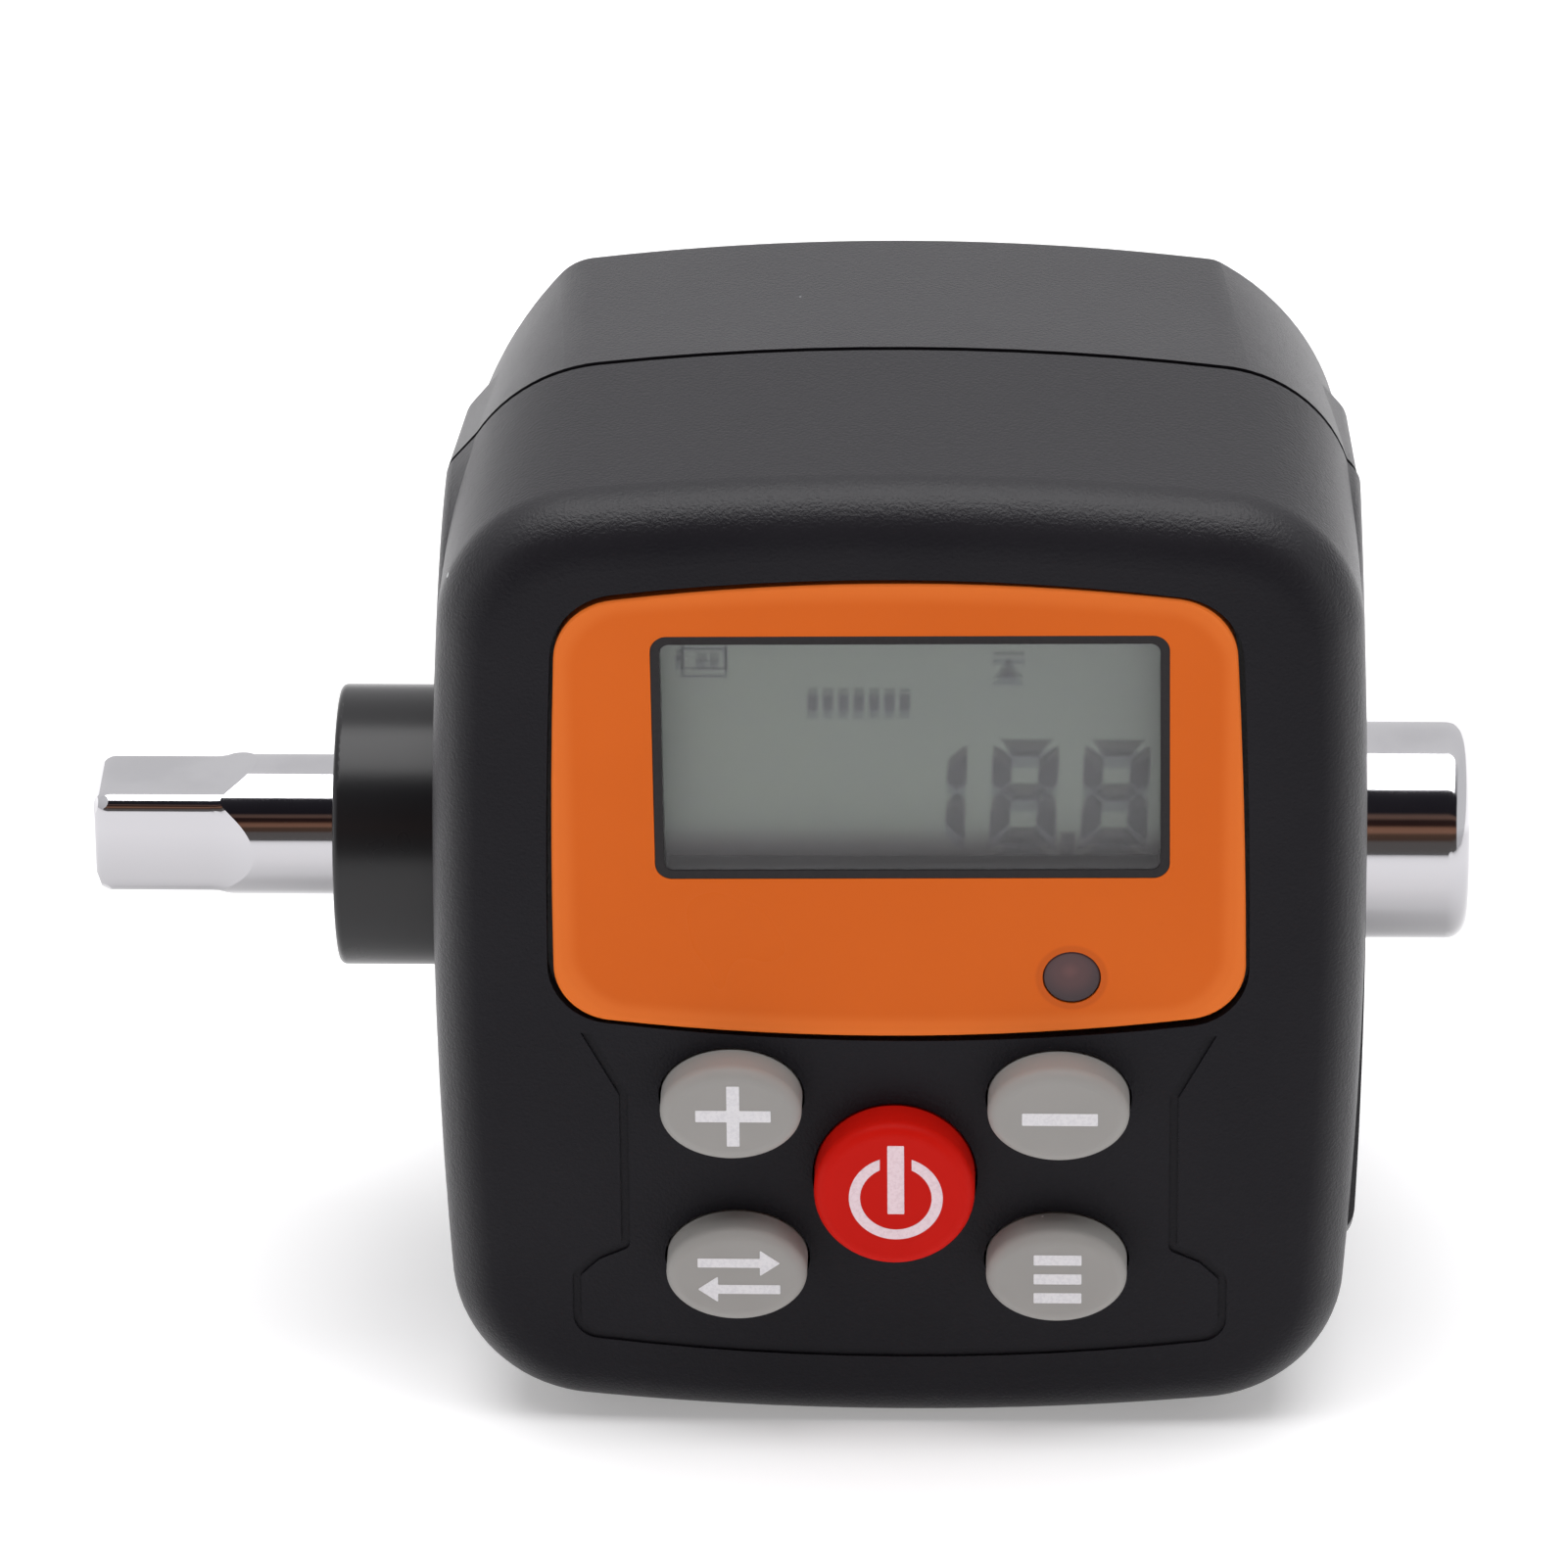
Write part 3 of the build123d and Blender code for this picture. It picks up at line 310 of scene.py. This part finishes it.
chip = Mat("chip_epoxy", Specular_IOR_Level=0.4)
chip.color(chip.mix(chip.noise(1600, 2.0), (0.012, 0.012, 0.013), (0.022, 0.022, 0.023)))
chip.rough(chip.noise(2600, 2.0), 0.5, 0.65)

buzzer = Mat("buzzer_black", Specular_IOR_Level=0.4)
buzzer.color(buzzer.mix(buzzer.noise(300, 2.0), (0.010, 0.010, 0.011), (0.018, 0.018, 0.019)))
buzzer.rough(buzzer.noise(1800, 2.0), 0.35, 0.5)

# bright chrome over ground steel: sharp reflections with a slight waviness
chrome = Mat("chrome_bright", Metallic=1.0)
c_fine = chrome.noise(1400, 3.0, 0.6)
c_cloud = chrome.noise(160, 3.0, 0.55)
sep = chrome.node("ShaderNodeSeparateXYZ")
chrome.link(chrome.scaled((1000.0, 1000.0, 1000.0)), sep.inputs[0])
# painted shade: below about 2.4 mm over the axis the chrome's colour turns darker, and darker still further down,
# dimming the floor it reflects
chrome_painted_shade_split = chrome.math("DIVIDE", chrome.math("SUBTRACT", sep.outputs[2], AXIS_Z + 2.4), 0.5, clamp=True)
chrome_painted_shade_fade = chrome.math("DIVIDE", chrome.math("SUBTRACT", AXIS_Z + 1.0, sep.outputs[2]), 7.0, clamp=True)
c_top = chrome.mix(chrome.ramp(c_cloud, [(0.35, 0.0), (0.65, 1.0)]), (0.560, 0.556, 0.574), (0.610, 0.605, 0.624))
chrome_painted_shade_low = chrome.mix(chrome_painted_shade_fade, (0.470, 0.464, 0.482), (0.290, 0.285, 0.292))
chrome.color(chrome.mix(chrome_painted_shade_split, chrome_painted_shade_low, c_top))
chrome.rough(c_cloud, 0.045, 0.10)
chrome.bump(chrome.noise(420, 2.0, 0.5), 0.0000035, 0.5)
chrome.bump(c_fine, 0.0000006, 0.4)

# blackened steel collar: satin, with a few hairline marks
collar = Mat("collar_black_oxide", Specular_IOR_Level=0.36)
co = collar.noise(2800, 3.0, 0.6)
cc = collar.noise(120, 3.0, 0.5)
lines = collar.noise(90, 1.0, 0.4, vec=collar.scaled((9.0, 1.6, 1.6)), distortion=0.6)
marks = collar.ramp(lines, [(0.494, 0.0), (0.5, 1.0), (0.506, 0.0)], smooth=False)
marks = collar.math("MULTIPLY", marks, collar.math("GREATER_THAN", cc, 0.56))
c_base = collar.mix(cc, (0.0088, 0.0086, 0.0098), (0.0120, 0.0118, 0.0134))
c_base = collar.mix(collar.math("MULTIPLY", marks, 0.5), c_base, (0.003, 0.003, 0.003))
collar.color(dusty(collar, c_base, (0.5, 0.5, 0.5), 300.0, 0.035, 0.06, 0.41))
collar.rough(cc, 0.24, 0.33)
collar.bump(co, 0.000004, 0.4)

bush = Mat("bush_nylon", Specular_IOR_Level=0.35)
bush.color(bush.mix(bush.noise(140, 2.0), (0.020, 0.020, 0.022), (0.035, 0.035, 0.037)))
bush.rough(bush.noise(1600, 2.0), 0.45, 0.6)

pin = Mat("pin_steel", Metallic=1.0)
pin.color(pin.mix(pin.noise(300, 2.0), (0.36, 0.36, 0.37), (0.48, 0.48, 0.49)))
pin.rough(pin.noise(1500, 2.0), 0.25, 0.4)

gauge = Mat("gauge_foil", Metallic=0.3)
gw = gauge.node("ShaderNodeTexWave", wave_type="BANDS", bands_direction="X")
gw.inputs["Scale"].default_value = 900.0
gauge.link(gauge.coord(), gw.inputs["Vector"])
gauge.color(gauge.mix(gw.outputs["Fac"], (0.55, 0.22, 0.05), (0.62, 0.48, 0.30)))
gauge.rough(gauge.noise(900, 2.0), 0.3, 0.45)

insulation = Mat("lead_insulation", Specular_IOR_Level=0.4)
insulation.color(insulation.mix(insulation.noise(400, 2.0), (0.42, 0.012, 0.010), (0.55, 0.025, 0.020)))
insulation.rough(insulation.noise(1200, 2.0), 0.35, 0.5)

ball = Mat("ball_steel", Metallic=1.0)
ball.color(ball.mix(ball.noise(300, 2.0), (0.60, 0.60, 0.61), (0.70, 0.70, 0.71)))
ball.rough(ball.noise(600, 2.0), 0.08, 0.16)

cell = Mat("cell_jacket", Metallic=0.25, Specular_IOR_Level=0.5)
sep = cell.node("ShaderNodeSeparateXYZ")
cell.link(cell.scaled((1000.0, 1000.0, 1000.0)), sep.inputs[0])
band = cell.math("GREATER_THAN", sep.outputs[2], AXIS_Z + 8.0)
cell.color(cell.mix(band, cell.mix(cell.noise(90, 2.0), (0.06, 0.065, 0.075), (0.09, 0.095, 0.105)), (0.60, 0.36, 0.10)))
cell.rough(cell.noise(500, 2.0), 0.22, 0.34)

nickel = Mat("contact_nickel", Metallic=1.0)
nickel.color(nickel.mix(nickel.noise(300, 2.0), (0.60, 0.57, 0.52), (0.70, 0.67, 0.62)))
nickel.rough(nickel.noise(1500, 2.0), 0.2, 0.34)

screw_black = Mat("screw_black_zinc", Metallic=0.9)
screw_black.color(screw_black.mix(screw_black.noise(500, 2.0), (0.030, 0.030, 0.034), (0.055, 0.055, 0.060)))
screw_black.rough(screw_black.noise(1400, 2.0), 0.28, 0.42)

screw_steel = Mat("screw_steel", Metallic=1.0)
screw_steel.color(screw_steel.mix(screw_steel.noise(500, 2.0), (0.48, 0.48, 0.49), (0.60, 0.60, 0.61)))
screw_steel.rough(screw_steel.noise(1400, 2.0), 0.24, 0.38)

# what the segments are printed with, and the painted shadows they throw on the reflector: "ink" is 1 inside a segment
# and falls to 0 over its soft edge
def segment_ink(name, colour_a, colour_b, most):
    s = Mat(name, Roughness=0.6, Specular_IOR_Level=0.0)
    a = s.node("ShaderNodeAttribute", attribute_name="ink")
    s.color(s.mix(s.noise(500, 2.0), colour_a, colour_b))
    s.link(s.math("MULTIPLY", a.outputs["Fac"], most), s.b.inputs["Alpha"])
    return s


seg_dark = segment_ink("segment_ink", (0.050, 0.044, 0.056), (0.064, 0.056, 0.068), 0.42)
seg_faint = segment_ink("segment_ink_faint", (0.060, 0.054, 0.070), (0.074, 0.066, 0.080), 0.24)
seg_painted_shadow = segment_ink("segment_ink_shadow", (0.125, 0.140, 0.185), (0.140, 0.155, 0.200), 0.30)

GIVE = {
    "front_housing": plastic, "rear_housing": plastic, "battery_door": plastic,
    "face_panel": orange, "display_bezel": bezel, "display_window": window,
    "lcd_cell": lcd, "lcd_holder": holder, "lcd_reflector": reflector,
    "zebra_strips": elastomer, "keypad_mat": key_grey, "switch_domes": spring_steel,
    "main_pcb": board, "controller_chip": chip, "amplifier_chip": chip, "buzzer": buzzer,
    "alarm_led": led, "led_lens": lens,
    "key_plus": key_grey, "key_minus": key_grey, "key_unit": key_grey, "key_mode": key_grey, "key_power": key_red,
    "drive_shaft": chrome, "shaft_collar": collar, "right_bush": bush, "retaining_ring": spring_steel,
    "locating_pin": pin, "strain_gauges": gauge, "gauge_leads": insulation, "battery_leads": insulation,
    "battery_1": cell, "battery_2": cell, "battery_springs": spring_steel, "battery_plates": nickel,
    "detent_ball": ball, "detent_spring": spring_steel,
    "housing_screws": screw_black, "pcb_screws": screw_steel,
}
for name, obj in N.items():
    m = GIVE[name].m
    if not obj.material_slots:
        obj.data.materials.append(m)
    for s in obj.material_slots:
        s.material = m

# ------------------------------------------------------------------ printed shapes


def mesh_object(name, verts, faces, material):
    me = bpy.data.meshes.new(name)
    me.from_pydata([Vector(v) * MM for v in verts], [], faces)
    me.validate()
    me.update()
    ob = bpy.data.objects.new(name, me)
    scene.collection.objects.link(ob)
    me.materials.append(material.m)
    return ob


def plate(name, shapes, y_front, y_back, body, material, slot):
    """Closed plates in the X-Z plane. shapes is a list of [outer, hole, ...] loops in mm about the shaft's axis."""
    verts, faces = [], []
    for loops in shapes:
        start = len(verts)
        flat = [p for loop in loops for p in loop]
        k = len(flat)
        verts += [(x, y_front, z + AXIS_Z) for x, z in flat] + [(x, y_back, z + AXIS_Z) for x, z in flat]
        for t in tessellate_polygon([[Vector((x, z, 0)) for x, z in loop] for loop in loops]):
            faces.append(tuple(start + i for i in t))
            faces.append(tuple(start + k + i for i in reversed(t)))
        at = 0
        for loop in loops:
            n = len(loop)
            for i in range(n):
                a, b = at + i, at + (i + 1) % n
                faces.append((start + a, start + b, start + k + b, start + k + a))
            at += n
    ob = mesh_object(name, verts, faces, material)
    bm = bmesh.new()
    bm.from_mesh(ob.data)
    bmesh.ops.recalc_face_normals(bm, faces=bm.faces)
    bm.to_mesh(ob.data)
    bm.free()
    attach(ob, body)
    return ob


def rect(x0, z0, x1, z1):
    return [(x0, z0), (x1, z0), (x1, z1), (x0, z1)]


def arc(cx, cz, r, a0, a1, n):
    return [(cx + r * math.cos(math.radians(a0 + (a1 - a0) * i / n)), cz + r * math.sin(math.radians(a0 + (a1 - a0) * i / n))) for i in range(n + 1)]


def rounded(loop, r, n=5):
    """The loop with each corner rounded by r."""
    out, k = [], len(loop)
    for i in range(k):
        p, a, b = Vector(loop[i]), Vector(loop[i - 1]), Vector(loop[(i + 1) % k])
        u, v = (a - p).normalized(), (b - p).normalized()
        turn = math.acos(max(-1, min(1, -u.dot(v))))
        if turn < 1e-3:
            out.append(tuple(p))
            continue
        d = min(r * math.tan(turn / 2), (a - p).length * 0.49, (b - p).length * 0.49)
        p0, p1 = p + u * d, p + v * d
        for j in range(n + 1):
            t = j / n
            q = p0 * (1 - t) ** 2 + p * 2 * t * (1 - t) + p1 * t * t
            out.append((q.x, q.y))
    return out


KEY_Y = -21.45  # the keys' front faces
PRINT = (KEY_Y - 0.022, KEY_Y + 0.05)

# plus: 4.27 wide, 3.87 tall
cx, cz = -9.33, -7.40
w, h, t = 4.27 / 2, 3.87 / 2, 0.365
plus = [(cx - w, cz - t), (cx - t, cz - t), (cx - t, cz - h), (cx + t, cz - h), (cx + t, cz - t), (cx + w, cz - t),
        (cx + w, cz + t), (cx + t, cz + t), (cx + t, cz + h), (cx - t, cz + h), (cx - t, cz + t), (cx - w, cz + t)]
plate("print_plus", [[rounded(plus, 0.05, 2)]], *PRINT, "key_plus", ink, "key_grey_rubber")

cx, cz = 9.17, -7.49
plate("print_minus", [[rounded(rect(cx - 2.145, cz - 0.39, cx + 2.145, cz + 0.39), 0.06, 2)]], *PRINT, "key_minus", ink, "key_grey_rubber")

# power: a ring open at the top, and a bar through the gap
cx, cz = -0.13, -12.65
ro, ri = 2.67, 2.035
go = math.degrees(math.asin(0.906 / ro))
gi = math.degrees(math.asin(0.906 / ri))
ring = arc(cx, cz, ro, 90 + go, 450 - go, 64) + arc(cx, cz, ri, 450 - gi, 90 + gi, 56)
bar = rounded(rect(cx - 0.475, cz - 1.02, cx + 0.475, cz + 3.40), 0.06, 2)
plate("print_power", [[ring], [bar]], *PRINT, "key_power", ink_pink, "key_red_rubber")

# unit key: two opposed arrows
cx, cz = -9.1, -17.82


def arrow(x0, x1, z, t, head_l, head_h):
    s = 1 if x1 > x0 else -1
    n = x1 - s * head_l
    return [(x0, z - t), (n, z - t), (n, z - head_h), (x1, z), (n, z + head_h), (n, z + t), (x0, z + t)]


plate("print_units", [[rounded(arrow(cx - 2.35, cx + 2.35, cz + 0.86, 0.29, 1.15, 0.84), 0.05, 2)],
                      [rounded(arrow(cx + 2.35, cx - 2.35, cz - 0.86, 0.29, 1.15, 0.84), 0.05, 2)]], *PRINT, "key_unit", ink, "key_grey_rubber")

# mode key: three bars
cx, cz = 9.07, -17.89
plate("print_modes", [[rounded(rect(cx - 1.365, cz + k * 1.24 - 0.33, cx + 1.365, cz + k * 1.24 + 0.33), 0.06, 2)] for k in (-1, 0, 1)],
      *PRINT, "key_mode", ink, "key_grey_rubber")

# ------------------------------------------------------------------ the display's segments
SOFT = 0.13  # width of a segment's soft edge, each side of its outline


def shifted(loop, d):
    """The convex loop with its sides moved out by d."""
    k = len(loop)
    area = sum(loop[i][0] * loop[(i + 1) % k][1] - loop[(i + 1) % k][0] * loop[i][1] for i in range(k))
    s = 1 if area > 0 else -1
    out = []
    for i in range(k):
        a, p, b = Vector(loop[i - 1]), Vector(loop[i]), Vector(loop[(i + 1) % k])
        u, v = (p - a).normalized(), (b - p).normalized()
        n1, n2 = Vector((u.y, -u.x)) * s, Vector((v.y, -v.x)) * s
        m = n1 + n2
        m = m / max(0.35, m.dot(n1))
        q = p + m * d
        out.append((q.x, q.y))
    return out


def segments(name, loops, y, material, dx=0.0, dz=0.0, soft=SOFT):
    verts, faces, inks = [], [], []
    for loop in loops:
        loop = [(x + dx, z + dz) for x, z in loop]
        inner, outer = shifted(loop, -soft * 0.8), shifted(loop, soft)
        s, k = len(verts), len(loop)
        verts += [(x, y, z + AXIS_Z) for x, z in inner] + [(x, y, z + AXIS_Z) for x, z in outer]
        inks += [1.0] * k + [0.0] * k
        faces.append(tuple(s + i for i in range(k)))
        for i in range(k):
            j = (i + 1) % k
            faces.append((s + i, s + k + i, s + k + j, s + j))
    ob = mesh_object(name, verts, faces, material)
    at = ob.data.attributes.new("ink", "FLOAT", "POINT")
    at.data.foreach_set("value", inks)
    bm = bmesh.new()
    bm.from_mesh(ob.data)
    for f in bm.faces:
        if f.normal.y > 0:
            f.normal_flip()
    bm.to_mesh(ob.data)
    bm.free()
    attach(ob, "housing")
    return ob


def digit(cx, z_low, lit, w=3.62, h=6.55, t=1.02, slant=0.035):
    """Seven-segment digit, its lit segments as convex loops; the upright segments lean by slant."""
    g = 0.13
    hw, hh = w / 2, h / 2
    zm = z_low + hh

    def lean(pts):
        return [(cx + x + slant * (z - 0), zm + z) for x, z in pts]

    s = {
        "a": [(-hw + 0.40 * t, hh), (hw - 0.40 * t, hh), (hw - 1.08 * t, hh - t), (-hw + 1.08 * t, hh - t)],
        "d": [(-hw + 0.40 * t, -hh), (hw - 0.40 * t, -hh), (hw - 1.08 * t, -hh + t), (-hw + 1.08 * t, -hh + t)],
        "g": [(-hw + 0.62 * t, 0), (-hw + 1.12 * t, t / 2), (hw - 1.12 * t, t / 2), (hw - 0.62 * t, 0), (hw - 1.12 * t, -t / 2), (-hw + 1.12 * t, -t / 2)],
    }
    up = [(-hw, hh - 0.42 * t), (-hw + 0.22 * t, hh - 0.46 * t), (-hw + t, hh - 1.22 * t), (-hw + t, 0.62 * t), (-hw + 0.48 * t, g), (-hw, 0.52 * t)]
    s["f"] = up
    s["b"] = [(-x, z) for x, z in up]
    s["e"] = [(x, -z) for x, z in up]
    s["c"] = [(-x, -z) for x, z in up]
    return [lean(s[k]) for k in lit]


lit = digit(1.98, 7.80, "bc") + digit(7.10, 7.80, "abcdefg") + digit(12.22, 7.80, "abcdefg")
lit.append(rect(9.22, 7.80, 9.90, 8.48))
# battery mark: an open case with two charge blocks and its terminal
case = [rect(-12.05, 18.66, -9.50, 18.80), rect(-12.05, 18.80, -11.92, 20.50), rect(-9.63, 18.80, -9.50, 20.50), rect(-11.92, 20.37, -9.63, 20.50),
        rect(-12.34, 19.20, -12.09, 19.92)]
blocks = [rect(-11.20, 19.16, -10.62, 19.72), rect(-10.46, 19.16, -9.98, 19.72)]
# a row of level bars and a mark above the digits
level = [rect(-5.0 + 0.86 * k, 16.15, -5.0 + 0.86 * k + 0.52, 17.55) for k in range(7)]
held = [[(5.35, 18.25), (7.05, 18.25), (6.20, 19.45)], rect(5.35, 19.60, 7.05, 19.86)]

# painted shadows: copies of the segments and marks, shifted down and a little left, in a pale bluish tone
segments("lcd_digit_shadows", lit, -16.965, seg_painted_shadow, dx=-0.06, dz=-0.74, soft=0.17)
segments("lcd_digits", lit, -16.985, seg_dark)
segments("lcd_mark_shadows", case + blocks + level + held, -16.965, seg_painted_shadow, dx=-0.03, dz=-0.5, soft=0.16)
segments("lcd_marks", blocks + level + held, -16.985, seg_faint, soft=0.10)
segments("lcd_battery_case", case, -16.985, seg_faint, soft=0.05)

# ------------------------------------------------------------------ floor, light, camera
bpy.ops.mesh.primitive_plane_add(size=14, location=(0, 0, 0))
floor = bpy.context.object
floor.name = "floor"
fl = Mat("floor_pale", Roughness=0.9, Specular_IOR_Level=0.1, Emission_Color=(1.0, 1.0, 1.0, 1.0), Emission_Strength=0.30)
fl.color(fl.mix(fl.noise(3.0, 2.0), (0.860, 0.860, 0.865), (0.875, 0.875, 0.880)))
floor.data.materials.append(fl.m)

world = bpy.data.worlds.new("studio")
scene.world = world
world.use_nodes = True
wt = world.node_tree
bg = wt.nodes["Background"]


def wnode(kind, **props):
    n = wt.nodes.new(kind)
    for key, value in props.items():
        setattr(n, key, value)
    return n


def wmath(op, a, b=None):
    n = wnode("ShaderNodeMath", operation=op)
    for socket, value in zip(n.inputs, (a, b)):
        if isinstance(value, (int, float)):
            socket.default_value = value
        elif value is not None:
            wt.links.new(value, socket)
    return n.outputs[0]


tc = wnode("ShaderNodeTexCoord")
sp = wnode("ShaderNodeSeparateXYZ")
wt.links.new(tc.outputs["Generated"], sp.inputs[0])
# angle in the Y-Z plane from the front horizon over the top, 0 to 1 for 0 to 180 degrees
turn = wmath("DIVIDE", wmath("ARCTAN2", sp.outputs[2], wmath("MULTIPLY", sp.outputs[1], -1.0)), math.pi)
room = wnode("ShaderNodeValToRGB")
stops = [(0.0, (0.17, 0.165, 0.165)), (4, (0.155, 0.145, 0.14)), (13, (0.15, 0.135, 0.13)), (16, (0.10, 0.060, 0.045)), (21, (0.11, 0.065, 0.045)),
         (24, (0.30, 0.155, 0.105)), (28, (0.26, 0.13, 0.085)), (31, (0.030, 0.014, 0.012)), (36, (0.026, 0.014, 0.013)),
         (39, (0.16, 0.095, 0.075)), (41.5, (0.13, 0.08, 0.065)), (44, (0.017, 0.015, 0.019)), (68, (0.020, 0.019, 0.024)),
         (72, (0.30, 0.30, 0.31)), (112, (0.75, 0.75, 0.76)), (118, (0.86, 0.855, 0.865)), (180, (0.80, 0.795, 0.81))]
while len(room.color_ramp.elements) < len(stops):
    room.color_ramp.elements.new(0.5)
for e, (deg, c) in zip(room.color_ramp.elements, stops):
    e.position = deg / 180.0
    e.color = (*c, 1)
wt.links.new(turn, room.inputs["Fac"])
# pale walls at the two sides
side = wnode("ShaderNodeMapRange")
side.inputs["From Min"].default_value = 0.66
side.inputs["From Max"].default_value = 0.74
wt.links.new(wmath("ABSOLUTE", sp.outputs[0]), side.inputs["Value"])
blend = wnode("ShaderNodeMix", data_type="RGBA")
wt.links.new(side.outputs[0], blend.inputs[0])
wt.links.new(room.outputs["Color"], blend.inputs[6])
blend.inputs[7].default_value = (0.80, 0.80, 0.815, 1)
wt.links.new(blend.outputs[2], bg.inputs["Color"])
bg.inputs["Strength"].default_value = 1.0

soft = bpy.data.lights.new("softbox_over", "AREA")
soft.shape = "RECTANGLE"
soft.size, soft.size_y = 1.30, 0.81
soft.energy = 12.5
soft.color = (1.0, 0.995, 1.0)
softbox = bpy.data.objects.new("softbox_over", soft)
softbox.location = (0.0, 0.02, 1.03)
scene.collection.objects.link(softbox)
softbox.visible_camera = False

cam_data = bpy.data.cameras.new("photo_camera")
cam_data.lens = 237.18
cam_data.sensor_width = 36.0
cam_data.clip_start, cam_data.clip_end = 0.05, 30.0
cam = bpy.data.objects.new("photo_camera", cam_data)
r = Vector((0.99957777, 0.02768738, -0.00881408))
u = Vector((-0.00485074, 0.45809486, 0.88889008))
f = Vector((-0.02864872, 0.88847201, -0.45803574))
cam.matrix_world = Matrix((
    (r.x, u.x, -f.x, 0.01021700),
    (r.y, u.y, -f.y, -0.53210842),
    (r.z, u.z, -f.z, 0.27704917 + AXIS_Z * MM),
    (0, 0, 0, 1),
))
scene.collection.objects.link(cam)
scene.camera = cam

scene.view_settings.view_transform = "Standard"
scene.view_settings.look = "None"
scene.view_settings.exposure = 0.0
scene.view_settings.gamma = 1.0
